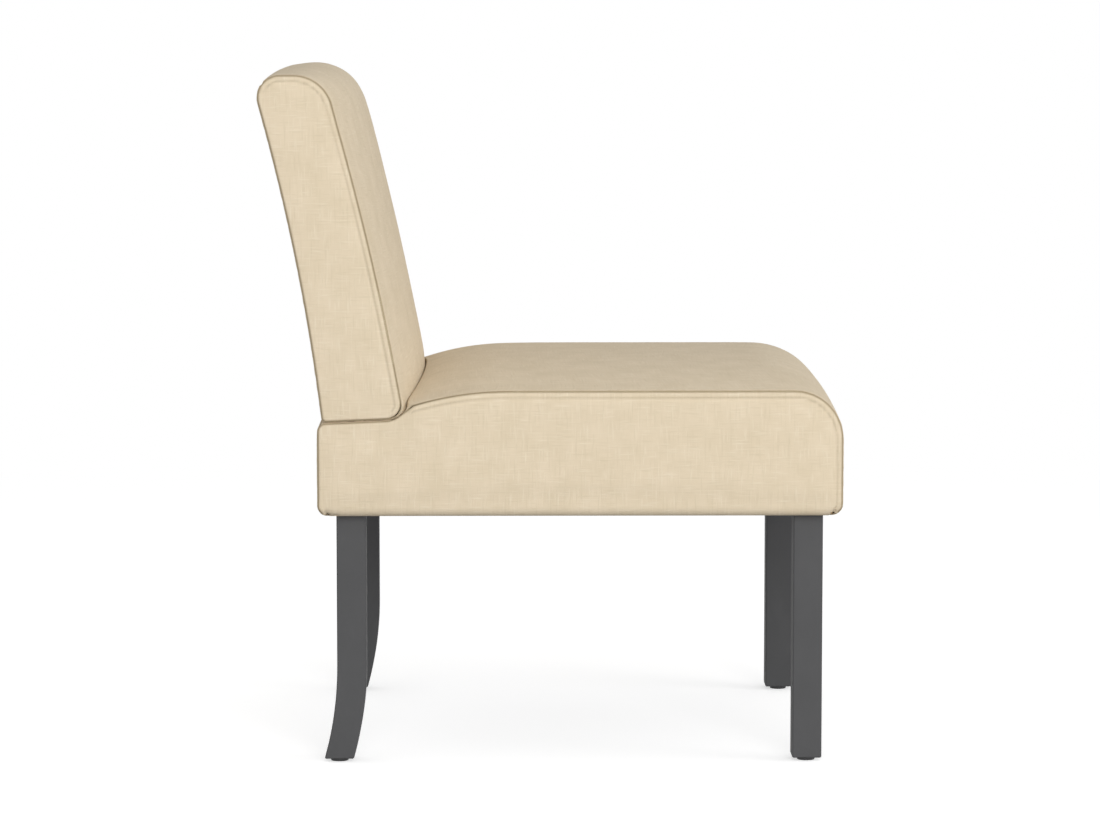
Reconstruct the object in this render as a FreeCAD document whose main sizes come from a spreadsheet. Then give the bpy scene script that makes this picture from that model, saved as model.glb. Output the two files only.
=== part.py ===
"""Slipper chair: an armless upholstered chair with swept rear legs.

Millimetres. The front of the chair faces +X and +Z is up. The origin is on the floor, under the
middle of the chair's outline. Every driving size is a cell of the sheet named sizes. The frame,
the legs and the hardware are bodies with sketches; the upholstery is lofted across the width
from rounded outlines, each layer an even distance inside the one around it.
"""

import FreeCAD, Part
import math
import os
from collections import namedtuple

import Sketcher
from FreeCAD import Vector

SIZES = {
    # Outside of the seat
    "seat_width": 540,
    "seat_front": 321.3,
    "seat_rear": 258,
    "seat_seam_height": 417.4,
    "seat_crown": 21,
    "seat_front_crown": 2.4,
    "seat_underside": 277,
    "seat_ledge_height": 381.6,
    "seat_front_top_radius": 54,
    "seat_front_crown_radius": 33,
    "seat_front_bottom_radius": 14,
    "seat_rear_bottom_radius": 12,
    "seat_rear_top_radius": 10,
    "seat_slope_start": 101,
    "seat_slope_foot_rise": 3,
    "seat_slope_foot_crown": 20,
    "crown_power": 2.5,
    # Outside of the back
    "back_seam_height": 763.2,
    "back_top_crown": 7.4,
    "back_front_crown": 24,
    "back_rear_crown": 2,
    "back_foot_rear": 252.5,
    "back_bend_rear": 275,
    "back_top_rear": 329,
    "back_foot_front": 161.1,
    "back_bend_front": 193.8,
    "back_top_front": 247.7,
    "back_bend_height": 561.7,
    "back_rear_bend_radius": 2300,
    "back_front_bend_radius": 3000,
    "back_top_rear_radius": 25,
    "back_top_front_radius": 44,
    "back_top_crown_radius": 14,
    "back_foot_radius": 9,
    "back_foot_rise": 4,
    "back_foot_rear_radius": 6,
    "back_seat_gap": 0.5,
    # Upholstery layers
    "cover_thickness": 1.2,
    "pad_thickness": 7,
    "soft_fit": 0.3,
    "cover_turn_under": 25,
    "dust_cover_thickness": 0.8,
    "dust_cover_margin": 17,
    "dust_cover_leg_gap": 3,
    "liner_thickness": 2,
    "strap_width": 50,
    "strap_thickness": 1.8,
    "strap_ramp": 10,
    "lengthwise_straps": 6,
    "crosswise_straps": 5,
    "back_straps": 4,
    # Frame
    "board_thickness": 18,
    "seat_rail_height": 85,
    "rail_edge_radius": 8,
    "post_depth": 46,
    "post_top_clearance": 13,
    "post_top_radius": 22,
    "post_root_radius": 22,
    "back_rail_setback": 4,
    "back_rail_thickness": 20,
    "back_rail_height": 52,
    "back_lower_rail_rise": 14,
    "block_reach": 72,
    "block_tip": 12,
    "block_height": 36,
    # Legs and hardware
    "leg_side": 32.6,
    "leg_side_inset": 22,
    "leg_edge_chamfer": 1.2,
    "front_leg_reach": 284.5,
    "rear_leg_reach": 221.5,
    "leg_sweep": 14.5,
    "leg_sweep_height": 105,
    "leg_bolt_diameter": 8,
    "leg_bolt_depth": 45,
    "leg_bolt_rise": 30,
    "hole_clearance": 0.1,
    "glide_diameter": 21,
    "glide_height": 4,
    "glide_flare": 0.8,
    "nail_diameter": 2.5,
    "nail_depth": 15,
}

STATIONS = (-1.0, -0.76, -0.43, 0.0, 0.43, 0.76, 1.0)
SIDES = {"left": 1, "right": -1}
SMALLEST_RADIUS = 0.5
SHARP = 0
SLOPE_SHARE = 0.96
ROLL_PIECES = 8
SLOPE_PIECES = 4

# A corner of an outline in XZ: its place, its radius and how many arcs its round is made of
Corner = namedtuple("Corner", "x z radius pieces", defaults=(SHARP, 1))

document = FreeCAD.newDocument("slipper_chair")
sheet = document.addObject("Spreadsheet::Sheet", "sizes")
for row, (alias, number) in enumerate(SIZES.items(), start=1):
    sheet.set(f"A{row}", str(number))
    sheet.setAlias(f"A{row}", alias)
document.recompute()

# Places worked out from the sizes, as expressions that the features are bound to
HALF_WIDTH = "(sizes.seat_width / 2)"
CORE = "(sizes.cover_thickness + sizes.pad_thickness + 2 * sizes.soft_fit)"
BODY_BOTTOM = "(sizes.seat_underside + sizes.dust_cover_thickness)"
RAIL_BOTTOM = f"({BODY_BOTTOM} + sizes.cover_thickness)"
RAIL_TOP = f"({RAIL_BOTTOM} + sizes.seat_rail_height)"
FRAME_FRONT = f"(sizes.seat_front - {CORE})"
FRAME_REAR = f"(-sizes.seat_rear + {CORE})"
FRAME_OUTSIDE = f"({HALF_WIDTH} - {CORE})"
FRAME_INSIDE = f"({FRAME_OUTSIDE} - sizes.board_thickness)"
LEG_OFFSET = f"({HALF_WIDTH} - sizes.leg_side_inset - sizes.leg_side / 2)"
LEG_BOTTOM = "sizes.glide_height"
BLOCK_TOP = f"({BODY_BOTTOM} + sizes.block_height)"
POST_SKIN = f"({CORE} * 1.06 + sizes.liner_thickness + sizes.soft_fit)"
POST_TOP = "(sizes.back_seam_height - sizes.post_top_clearance)"
BACK_FOOT = "(sizes.seat_ledge_height + sizes.back_seat_gap)"
DECK_TOP = f"({RAIL_TOP} + 2 * sizes.strap_thickness + 2 * sizes.soft_fit)"


def value(expression):
    """Return the number that an expression over the sheet's sizes has now."""
    return float(sheet.evalExpression(expression))


def upper_line(height, skin):
    """Return the expression of the back's rear edge above its bend, moved forward by skin."""
    rise = "(sizes.back_seam_height - sizes.back_bend_height)"
    lean = "(sizes.back_top_rear - sizes.back_bend_rear)"
    return f"(-sizes.back_bend_rear - {lean} * ({height} - sizes.back_bend_height) / {rise} + {skin})"


def lower_line(height, skin):
    """Return the expression of the back's rear edge below its bend, moved forward by skin."""
    rise = f"(sizes.back_bend_height - {BACK_FOOT})"
    lean = "(sizes.back_bend_rear - sizes.back_foot_rear)"
    return f"(-sizes.back_foot_rear - {lean} * ({height} - {BACK_FOOT}) / {rise} + {skin})"


def posts_front():
    """Return an X just ahead of the posts and their rounded roots, at the top of the rails."""
    return value(f"{lower_line(RAIL_TOP, POST_SKIN)} + sizes.post_depth + sizes.post_root_radius")


def origin_plane(body, role):
    """Return one of a body's own origin planes."""
    return next(item for item in body.Origin.OriginFeatures if item.Role == role)


def new_body(label, x="0", y="0", z="0"):
    """Add a body whose placement is bound to three expressions."""
    body = document.addObject("PartDesign::Body", label)
    body.Label = label
    for axis, expression in zip("xyz", (x, y, z)):
        body.setExpression(f"Placement.Base.{axis}", expression)
    return body


def new_sketch(body, name, role):
    """Add an empty sketch on one of the body's origin planes."""
    sketch = body.newObject("Sketcher::SketchObject", f"{body.Name}_{name}")
    sketch.AttachmentSupport = [(origin_plane(body, role), "")]
    sketch.MapMode = "FlatFace"
    return sketch


def arc_between(start, end, radius, side):
    """Return the arc between two points that bulges left (1) or right (-1) of the way to end.

    It is drawn anticlockwise, so one that bulges left begins at end.
    """
    chord = end - start
    left = Vector(-chord.y, chord.x, 0).normalize()
    half = chord.Length / 2
    centre = (start + end) * 0.5 - left * side * math.sqrt(radius * radius - half * half)
    ends = (end, start) if side > 0 else (start, end)
    angles = [math.atan2(point.y - centre.y, point.x - centre.x) for point in ends]
    return Part.ArcOfCircle(Part.Circle(centre, Vector(0, 0, 1), radius), *angles)


def draw_outline(sketch, corners, arcs=None):
    """Draw a closed outline whose corners, and any arc radii, are bound to expressions.

    arcs maps the number of the corner that an arc starts at to its radius expression and the
    side of the straight line that it bulges to: 1 for left, -1 for right.
    """
    arcs = arcs or {}
    points = [Vector(value(x), value(y), 0) for x, y in corners]
    start_ends = []
    for number, point in enumerate(points):
        following = points[(number + 1) % len(points)]
        if number in arcs:
            radius, side = arcs[number]
            arc = arc_between(point, following, value(radius), side)
            index = sketch.addGeometry(arc)
            start_ends.append(2 if side > 0 else 1)
            constraint = sketch.addConstraint(Sketcher.Constraint("Radius", index, value(radius)))
            sketch.setExpression(f"Constraints[{constraint}]", radius)
        else:
            sketch.addGeometry(Part.LineSegment(point, following))
            start_ends.append(1)
    for number in range(len(points)):
        following = (number + 1) % len(points)
        end = 3 - start_ends[number]
        sketch.addConstraint(
            Sketcher.Constraint("Coincident", number, end, following, start_ends[following])
        )
    for number, (point, corner) in enumerate(zip(points, corners)):
        for kind, size, expression in zip(("DistanceX", "DistanceY"), (point.x, point.y), corner):
            placed = Sketcher.Constraint(kind, -1, 1, number, start_ends[number], size)
            sketch.setExpression(f"Constraints[{sketch.addConstraint(placed)}]", expression)


def pad(body, sketch, length, middle=False, reverse=False):
    """Pad a sketch by an expression, to one side or to both."""
    feature = body.newObject("PartDesign::Pad", f"{body.Name}_pad")
    feature.Profile = sketch
    feature.Midplane = middle
    feature.Reversed = reverse
    feature.setExpression("Length", length)
    document.recompute()


def drill(body, name, x, y, base, radius, length):
    """Cut a round upright hole: it starts at height base in the body's frame and runs up."""
    tool = body.newObject("PartDesign::SubtractiveCylinder", f"{body.Name}_{name}")
    tool.setExpression("Radius", radius)
    tool.setExpression("Height", length)
    tool.AttachmentSupport = [(origin_plane(body, "XY_Plane"), "")]
    tool.MapMode = "FlatFace"
    for axis, expression in zip("xyz", (x, y, base)):
        tool.setExpression(f"AttachmentOffset.Base.{axis}", expression)
    document.recompute()


def dress_edges(body, kind, name, chosen):
    """Add a fillet or chamfer to the edges of the body's tip that chosen accepts."""
    tip = body.Tip
    numbered = enumerate(tip.Shape.Edges, start=1)
    feature = body.newObject(f"PartDesign::{kind}", f"{body.Name}_{name}")
    feature.Base = (tip, [f"Edge{number}" for number, edge in numbered if chosen(edge)])
    return feature


def round_edges(body, name, radius, chosen):
    """Fillet the edges of the body's tip that chosen accepts."""
    dress_edges(body, "Fillet", name, chosen).setExpression("Radius", radius)
    document.recompute()


def chamfer_edges(body, name, width, chosen):
    """Chamfer the edges of the body's tip that chosen accepts."""
    dress_edges(body, "Chamfer", name, chosen).setExpression("Size", width)
    document.recompute()


def runs_across(edge, x, z, reach=1.0):
    """Return whether a straight edge runs along Y through the given X and Z."""
    first, last = edge.firstVertex().Point, edge.lastVertex().Point
    level = abs(first.x - last.x) < 1e-3 and abs(first.z - last.z) < 1e-3
    return level and abs(first.x - x) < reach and abs(first.z - z) < reach


def shape_feature(label, shape, placement=FreeCAD.Placement()):
    """Add a piece whose shape is made by the functions of this file."""
    feature = document.addObject("Part::Feature", label)
    feature.Label = label
    feature.Shape = shape
    feature.Placement = placement


def side_frames():
    """Make the two plywood sides: each is the seat's side rail and the back's post in one."""
    step = f"({RAIL_TOP} + sizes.strap_thickness)"
    foot_rear = lower_line(step, POST_SKIN)
    bend_rear = f"(-sizes.back_bend_rear + {POST_SKIN})"
    top_rear = upper_line(POST_TOP, POST_SKIN)
    corners = [
        (FRAME_REAR, RAIL_BOTTOM),
        (FRAME_FRONT, RAIL_BOTTOM),
        (FRAME_FRONT, RAIL_TOP),
        (f"({lower_line(RAIL_TOP, POST_SKIN)} + sizes.post_depth)", RAIL_TOP),
        (f"({bend_rear} + sizes.post_depth)", "sizes.back_bend_height"),
        (f"({top_rear} + sizes.post_depth)", POST_TOP),
        (top_rear, POST_TOP),
        (bend_rear, "sizes.back_bend_height"),
        (foot_rear, step),
        (FRAME_REAR, RAIL_TOP),
    ]
    rounded = {
        "root": ((3,), "sizes.post_root_radius"),
        "bends": ((4, 7), "sizes.back_rear_bend_radius"),
        "top": ((6,), "sizes.post_top_radius"),
        "feet": ((0, 1), "sizes.rail_edge_radius"),
    }
    for side, sign in SIDES.items():
        middle = f"{sign} * ({FRAME_OUTSIDE} - sizes.board_thickness / 2)"
        body = new_body(f"side_frame_{side}", y=middle)
        outline = new_sketch(body, "outline", "XZ_Plane")
        draw_outline(outline, corners)
        pad(body, outline, "sizes.board_thickness", middle=True)
        for name, (numbers, radius) in rounded.items():
            places = [(value(corners[number][0]), value(corners[number][1])) for number in numbers]
            round_edges(body, name, radius, lambda edge: any(
                runs_across(edge, x, z) for x, z in places))


def seat_rails():
    """Make the front and rear rails, which stand between the side frames."""
    places = {
        "seat_front_rail": (f"({FRAME_FRONT} - sizes.board_thickness)", FRAME_FRONT),
        "seat_rear_rail": (FRAME_REAR, f"({FRAME_REAR} + sizes.board_thickness)"),
    }
    for label, (rear_face, front_face) in places.items():
        body = new_body(label)
        outline = new_sketch(body, "outline", "XZ_Plane")
        draw_outline(outline, [(rear_face, RAIL_BOTTOM), (front_face, RAIL_BOTTOM),
                               (front_face, RAIL_TOP), (rear_face, RAIL_TOP)])
        pad(body, outline, f"2 * {FRAME_INSIDE}", middle=True)
        outer_face = value(front_face if label == "seat_front_rail" else rear_face)
        bottom = value(RAIL_BOTTOM)
        round_edges(body, "outer_edge", "sizes.rail_edge_radius",
                    lambda edge: runs_across(edge, outer_face, bottom))


def back_plane():
    """Return the placement of the back's rails and straps, and the height that they span.

    Its origin is at the foot of the lower rail's front face, its Z runs up along the faces of
    both rails and its X points forward. The faces are set back from the posts' front edges.
    """
    low = value(f"{BACK_FOOT} + sizes.back_lower_rail_rise")
    high = value(f"{POST_TOP} - sizes.soft_fit")
    depth = value("sizes.post_depth - sizes.back_rail_setback")
    low_x = value(lower_line(str(low), POST_SKIN)) + depth
    high_x = value(upper_line(str(high), POST_SKIN)) + depth
    lean = math.degrees(math.atan2(low_x - high_x, high - low))
    turn = FreeCAD.Rotation(Vector(0, 1, 0), -lean)
    return FreeCAD.Placement(Vector(low_x, 0, low), turn), math.hypot(low_x - high_x, high - low)


def back_rails():
    """Make the back's top and lower rails, which lean with the posts."""
    plane, length = back_plane()
    height = value("sizes.back_rail_height")
    thickness = value("sizes.back_rail_thickness")
    for label, rise in (("back_lower_rail", 0), ("back_top_rail", length - height)):
        rail = document.addObject("Part::Box", label)
        rail.Label = label
        rail.setExpression("Length", "sizes.back_rail_thickness")
        rail.setExpression("Width", f"2 * {FRAME_INSIDE}")
        rail.setExpression("Height", "sizes.back_rail_height")
        corner = Vector(-thickness, -value(FRAME_INSIDE), rise)
        rail.Placement = plane * FreeCAD.Placement(corner, FreeCAD.Rotation())


def back_webbing():
    """Make the back's upright straps, which lie on the front faces of its rails."""
    plane, length = back_plane()
    count = int(value("sizes.back_straps"))
    width = value("sizes.strap_width")
    pitch = 2 * value(FRAME_INSIDE) / count
    straps = []
    for number in range(count):
        left_edge = (number - (count - 1) / 2) * pitch - width / 2
        straps.append(Part.makeBox(value("sizes.strap_thickness"), width, length,
                                   Vector(0, left_edge, 0)))
    shape_feature("back_webbing", Part.makeCompound(straps), plane)


def corner_blocks():
    """Make the four corner blocks, glued into the seat frame over the legs."""
    for end, front in (("front", 1), ("rear", -1)):
        corner = f"({FRAME_FRONT} - sizes.board_thickness)"
        if front < 0:
            corner = f"({FRAME_REAR} + sizes.board_thickness)"
        leg = "sizes.front_leg_reach" if front > 0 else "-sizes.rear_leg_reach"
        for side, sign in SIDES.items():
            body = new_body(f"corner_block_{end}_{side}", x=corner, y=f"{sign} * {FRAME_INSIDE}",
                            z=BODY_BOTTOM)
            outline = new_sketch(body, "outline", "XY_Plane")
            draw_outline(outline, [
                ("0", "0"),
                (f"{-front} * sizes.block_reach", "0"),
                (f"{-front} * sizes.block_reach", f"{-sign} * sizes.block_tip"),
                (f"{-front} * sizes.block_tip", f"{-sign} * sizes.block_reach"),
                ("0", f"{-sign} * sizes.block_reach"),
            ])
            pad(body, outline, "sizes.block_height")
            drill(body, "bolt_hole", f"{leg} - {corner}",
                  f"{sign} * ({LEG_OFFSET} - {FRAME_INSIDE})", "0",
                  "sizes.leg_bolt_diameter / 2 + sizes.hole_clearance", "sizes.block_height")


def leg_holes(body):
    """Drill a leg's bolt hole from the top and its glide's nail hole from the bottom."""
    drill(body, "bolt_hole", "0", "0", f"{BODY_BOTTOM} - sizes.leg_bolt_depth - 2",
          "sizes.leg_bolt_diameter / 2 + sizes.hole_clearance", "sizes.leg_bolt_depth + 2")


def front_legs():
    """Make the straight square front legs."""
    for side, sign in SIDES.items():
        body = new_body(f"leg_front_{side}", x="sizes.front_leg_reach", y=f"{sign} * {LEG_OFFSET}")
        outline = new_sketch(body, "outline", "XZ_Plane")
        draw_outline(outline, [
            ("-sizes.leg_side / 2", LEG_BOTTOM),
            ("sizes.leg_side / 2", LEG_BOTTOM),
            ("sizes.leg_side / 2", BODY_BOTTOM),
            ("-sizes.leg_side / 2", BODY_BOTTOM),
        ])
        pad(body, outline, "sizes.leg_side", middle=True)
        top = value(BODY_BOTTOM)
        chamfer_edges(body, "edges", "sizes.leg_edge_chamfer",
                      lambda edge: edge.BoundBox.ZMin < top - 1)
        leg_holes(body)
        drill(body, "nail_hole", "0", "0", LEG_BOTTOM,
              "sizes.nail_diameter / 2 + sizes.hole_clearance", "sizes.nail_depth + 1")


def rear_legs():
    """Make the rear legs: straight above, then swept backwards on an arc to the foot."""
    half = "sizes.leg_side / 2"
    for side, sign in SIDES.items():
        body = new_body(f"leg_rear_{side}", x="-sizes.rear_leg_reach", y=f"{sign} * {LEG_OFFSET}")
        outline = new_sketch(body, "outline", "XZ_Plane")
        sweep_start = f"({LEG_BOTTOM} + sizes.leg_sweep_height)"
        radius = "((sizes.leg_sweep_height ^ 2 + sizes.leg_sweep ^ 2) / (2 * sizes.leg_sweep))"
        draw_outline(outline, [
            (f"-{half} - sizes.leg_sweep", LEG_BOTTOM),
            (f"{half} - sizes.leg_sweep", LEG_BOTTOM),
            (half, sweep_start),
            (half, BODY_BOTTOM),
            (f"-{half}", BODY_BOTTOM),
            (f"-{half}", sweep_start),
        ], arcs={1: (radius, -1), 5: (radius, 1)})
        pad(body, outline, "sizes.leg_side", middle=True)
        top = value(BODY_BOTTOM)
        chamfer_edges(body, "edges", "sizes.leg_edge_chamfer",
                      lambda edge: edge.BoundBox.ZMin < top - 1)
        leg_holes(body)
        drill(body, "nail_hole", "-sizes.leg_sweep", "0", LEG_BOTTOM,
              "sizes.nail_diameter / 2 + sizes.hole_clearance", "sizes.nail_depth + 1")


def leg_places():
    """Return each leg's name, X and Y at the top, and X at the foot."""
    places = []
    offset = value(LEG_OFFSET)
    front, rear = value("sizes.front_leg_reach"), -value("sizes.rear_leg_reach")
    for end, x, foot_x in (("front", front, front), ("rear", rear, rear - value("sizes.leg_sweep"))):
        for side, sign in SIDES.items():
            places.append((f"{end}_{side}", x, sign * offset, foot_x))
    return places


def leg_bolts():
    """Make the bolts that join the legs to the corner blocks, a group of four."""
    foot = value(f"{BODY_BOTTOM} - sizes.leg_bolt_depth")
    length = value("sizes.leg_bolt_depth + sizes.leg_bolt_rise")
    radius = value("sizes.leg_bolt_diameter / 2")
    bolts = [Part.makeCylinder(radius, length, Vector(x, y, foot)) for _, x, y, _ in leg_places()]
    shape_feature("leg_bolts", Part.makeCompound(bolts))


def glides():
    """Make the round glides under the legs, each with its nail, as a group of four."""
    radius = value("sizes.glide_diameter / 2")
    height = value("sizes.glide_height")
    nail = value("sizes.nail_diameter / 2")
    tip = height + value("sizes.nail_depth")
    profile = [(0, 0), (radius - value("sizes.glide_flare"), 0), (radius, height), (nail, height),
               (nail, tip), (0, tip), (0, 0)]
    glide = Part.Face(Part.makePolygon([Vector(x, 0, z) for x, z in profile])).revolve(
        Vector(), Vector(0, 0, 1), 360)
    placed = [glide.translated(Vector(foot_x, y, 0)) for _, _, y, foot_x in leg_places()]
    shape_feature("glides", Part.makeCompound(placed))


def woven_path(start, end, crossings, lifts, low, high, ramp, half_width):
    """Return the underside of one strap as points: distance along it and height.

    It starts and ends low on the rails, and at each crossing strap it is low or high.
    """
    points = [(start, low)]
    level = low
    for crossing, lifted in zip(crossings, lifts):
        wanted = high if lifted else low
        if wanted != level:
            points += [(crossing - half_width - ramp, level), (crossing - half_width, wanted)]
        level = wanted
    if level != low:
        last = crossings[-1] + half_width
        points += [(last, level), (last + ramp, low)]
    points.append((end, low))
    return points


def strap_solid(points, thickness, width, across, lengthwise):
    """Sweep a strap's band of even height sideways into a solid."""
    ring = [(along, height) for along, height in points]
    ring += [(along, height + thickness) for along, height in reversed(points)]
    if lengthwise:
        corners = [Vector(along, across - width / 2, height) for along, height in ring]
        sweep = Vector(0, width, 0)
    else:
        corners = [Vector(across - width / 2, along, height) for along, height in ring]
        sweep = Vector(width, 0, 0)
    return Part.Face(Part.makePolygon(corners + corners[:1])).extrude(sweep)


def seat_webbing():
    """Make the seat's straps, woven over and under each other on top of the rails."""
    thickness = value("sizes.strap_thickness")
    half = value("sizes.strap_width / 2")
    ramp = value("sizes.strap_ramp")
    low = value(RAIL_TOP)
    high = low + thickness + value("sizes.soft_fit")
    lay = value("sizes.soft_fit")
    rear = value(f"{FRAME_REAR} + sizes.board_thickness")
    front = value(f"{FRAME_FRONT} - sizes.board_thickness")
    inside = value(FRAME_INSIDE)
    seat_on_rail = value("sizes.board_thickness") - lay
    lengthwise = int(value("sizes.lengthwise_straps"))
    crosswise = int(value("sizes.crosswise_straps"))
    first_cross = posts_front() + half
    last_cross = front - half - 2 * ramp
    cross_x = [first_cross + (last_cross - first_cross) * number / (crosswise - 1)
               for number in range(crosswise)]
    length_y = [2 * inside * ((number + 0.5) / lengthwise - 0.5) for number in range(lengthwise)]
    straps = []
    for number, across in enumerate(length_y):
        lifts = [(number + crossing) % 2 == 0 for crossing in range(crosswise)]
        points = woven_path(rear - seat_on_rail, front + seat_on_rail, cross_x, lifts, low, high,
                            ramp, half)
        straps.append(strap_solid(points, thickness, 2 * half, across, True))
    shape_feature("seat_webbing_lengthwise", Part.makeCompound(straps))
    straps = []
    for number, across in enumerate(cross_x):
        lifts = [(number + crossing) % 2 == 1 for crossing in range(lengthwise)]
        points = woven_path(-inside - seat_on_rail, inside + seat_on_rail, length_y, lifts, low,
                            high, ramp, half)
        straps.append(strap_solid(points, thickness, 2 * half, across, False))
    shape_feature("seat_webbing_crosswise", Part.makeCompound(straps))


def slope_arc(run, fall):
    """Return the radius of the arc that takes up most of a slope, for its run and its fall."""
    return SLOPE_SHARE * math.hypot(run, fall) / math.tan(math.atan2(fall, run) / 2)


def seat_outline(crown):
    """Return the seat's outline in XZ as corners with radii, for a crown share from 0 to 1.

    Its top slopes down on one arc to the foot of the back, runs down along the back's front
    and goes on under the back as a ledge.
    """
    front = value("sizes.seat_front") + crown * value("sizes.seat_front_crown")
    rear = -value("sizes.seat_rear")
    bottom = value(BODY_BOTTOM)
    ledge = value("sizes.seat_ledge_height")
    top = value("sizes.seat_seam_height") + crown * value("sizes.seat_crown")
    front_radius = value("sizes.seat_front_top_radius")
    front_radius += crown * value("sizes.seat_front_crown_radius")
    gap = value("sizes.back_seat_gap")
    foot_x = -value("sizes.back_foot_front") + crown * value("sizes.back_front_crown") + gap
    foot_z = ledge + value("sizes.back_foot_rise")
    lean = value("(sizes.back_bend_front - sizes.back_foot_front)") / (
        value("sizes.back_bend_height") - foot_z)
    foot_radius = value("sizes.back_foot_radius") + gap
    foot_angle = math.pi / 2 - math.atan(lean) - math.atan2(foot_z - ledge, foot_x - rear)
    meet_z = foot_z + foot_radius / math.tan(foot_angle / 2) + (
        value("sizes.seat_slope_foot_rise") + crown * value("sizes.seat_slope_foot_crown"))
    meet_x = foot_x - lean * (meet_z - foot_z)
    slope_x = -value("sizes.seat_slope_start")
    return [
        Corner(rear, bottom, value("sizes.seat_rear_bottom_radius")),
        Corner(front, bottom, value("sizes.seat_front_bottom_radius")),
        Corner(front, top, front_radius, ROLL_PIECES),
        Corner(slope_x, top, slope_arc(slope_x - meet_x, top - meet_z), SLOPE_PIECES),
        Corner(meet_x, meet_z),
        Corner(foot_x, foot_z, foot_radius),
        Corner(rear, ledge, value("sizes.seat_rear_top_radius")),
    ]


def back_outline(crown):
    """Return the back's outline in XZ as corners with radii, for a crown share from 0 to 1."""
    foot = value(BACK_FOOT)
    bend = value("sizes.back_bend_height")
    top = value("sizes.back_seam_height") + crown * value("sizes.back_top_crown")
    behind = crown * value("sizes.back_rear_crown")
    ahead = crown * value("sizes.back_front_crown")
    top_front_radius = value("sizes.back_top_front_radius")
    top_front_radius += crown * value("sizes.back_top_crown_radius")
    foot_rear = -value("sizes.back_foot_rear") - behind
    foot_front = -value("sizes.back_foot_front") + ahead
    bend_front = -value("sizes.back_bend_front") + ahead
    top_front = -value("sizes.back_top_front") + ahead
    top_rear = -value("sizes.back_top_rear") - behind
    bend_rear = -value("sizes.back_bend_rear") - behind
    return [
        Corner(foot_rear, foot, value("sizes.back_foot_rear_radius")),
        Corner(foot_front, foot + value("sizes.back_foot_rise"), value("sizes.back_foot_radius")),
        Corner(bend_front, bend, value("sizes.back_front_bend_radius")),
        Corner(top_front, top, top_front_radius, ROLL_PIECES),
        Corner(top_rear, top, value("sizes.back_top_rear_radius")),
        Corner(bend_rear, bend, value("sizes.back_rear_bend_radius")),
    ]


def inset_corners(corners, inset):
    """Move every side of an anticlockwise outline inwards and change its radii to suit."""
    count = len(corners)
    directions = []
    for number in range(count):
        corner, following = corners[number], corners[(number + 1) % count]
        length = math.hypot(following.x - corner.x, following.z - corner.z)
        directions.append(((following.x - corner.x) / length, (following.z - corner.z) / length))
    moved = []
    for number, corner in enumerate(corners):
        before, after = directions[number - 1], directions[number]
        turn = before[0] * after[1] - before[1] * after[0]
        share = inset / (1 + before[0] * after[0] + before[1] * after[1])
        radius = corner.radius - inset if turn > 0 else corner.radius + inset
        if corner.radius == SHARP:
            radius = SHARP
        else:
            radius = max(radius, SMALLEST_RADIUS)
        moved.append(Corner(corner.x - share * (before[1] + after[1]),
                            corner.z + share * (before[0] + after[0]), radius, corner.pieces))
    return moved


def corner_arc(before, corner, following, y):
    """Return the points of a corner's round: the ends and the middle of each of its arcs."""
    point = Vector(corner.x, y, corner.z)
    to_before = (Vector(before.x, y, before.z) - point).normalize()
    to_after = (Vector(following.x, y, following.z) - point).normalize()
    half_angle = to_before.getAngle(to_after) / 2
    start = point + to_before * (corner.radius / math.tan(half_angle))
    centre = point + (to_before + to_after).normalize() * (corner.radius / math.sin(half_angle))
    step = -(180 - 2 * math.degrees(half_angle)) / (2 * corner.pieces)
    axis = to_before.cross(to_after)
    turns = [FreeCAD.Rotation(axis, step * number) for number in range(2 * corner.pieces + 1)]
    return [centre + turn.multVec(start - centre) for turn in turns]


def rounded_wire(corners, y):
    """Return the closed wire of an outline in the plane Y = y: lines, and arcs at its corners."""
    count = len(corners)
    arcs = [corner_arc(corners[number - 1], corners[number], corners[(number + 1) % count], y)
            for number in range(count)]
    edges = []
    for number, arc in enumerate(arcs):
        if corners[number].radius != SHARP:
            edges += [Part.Arc(*arc[first:first + 3]).toShape()
                      for first in range(0, len(arc) - 1, 2)]
        edges.append(Part.LineSegment(arc[-1], arcs[(number + 1) % count][0]).toShape())
    return Part.Wire(edges)


def crowned_form(outline, inset):
    """Loft an outline across the chair, an even distance inside its outside.

    The crown is full in the middle and none at the seams.
    """
    half = value(HALF_WIDTH)
    power = value("sizes.crown_power")
    wires = []
    for station in STATIONS:
        y = station * (half - inset)
        crown = 1 - (abs(y) / half) ** power
        wires.append(rounded_wire(inset_corners(outline(crown), inset), y))
    return Part.makeLoft(wires, True, True)


def box_between(x, y, z):
    """Return the box between pairs of X, Y and Z."""
    corner = Vector(min(x), min(y), min(z))
    return Part.makeBox(abs(x[1] - x[0]), abs(y[1] - y[0]), abs(z[1] - z[0]), corner)


def post_slots(margin):
    """Return the space that the posts take where they pass from the seat into the back."""
    low = value(RAIL_TOP)
    high = value(f"{BACK_FOOT} + {CORE}") + margin
    rear = value(lower_line(str(high), POST_SKIN)) - margin
    front = posts_front()
    outside = value(FRAME_OUTSIDE) + margin
    inside = value(FRAME_INSIDE) - margin
    slots = [box_between((rear, front), (sign * inside, sign * outside), (low, high))
             for sign in SIDES.values()]
    return slots[0].fuse(slots[1])


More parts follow.
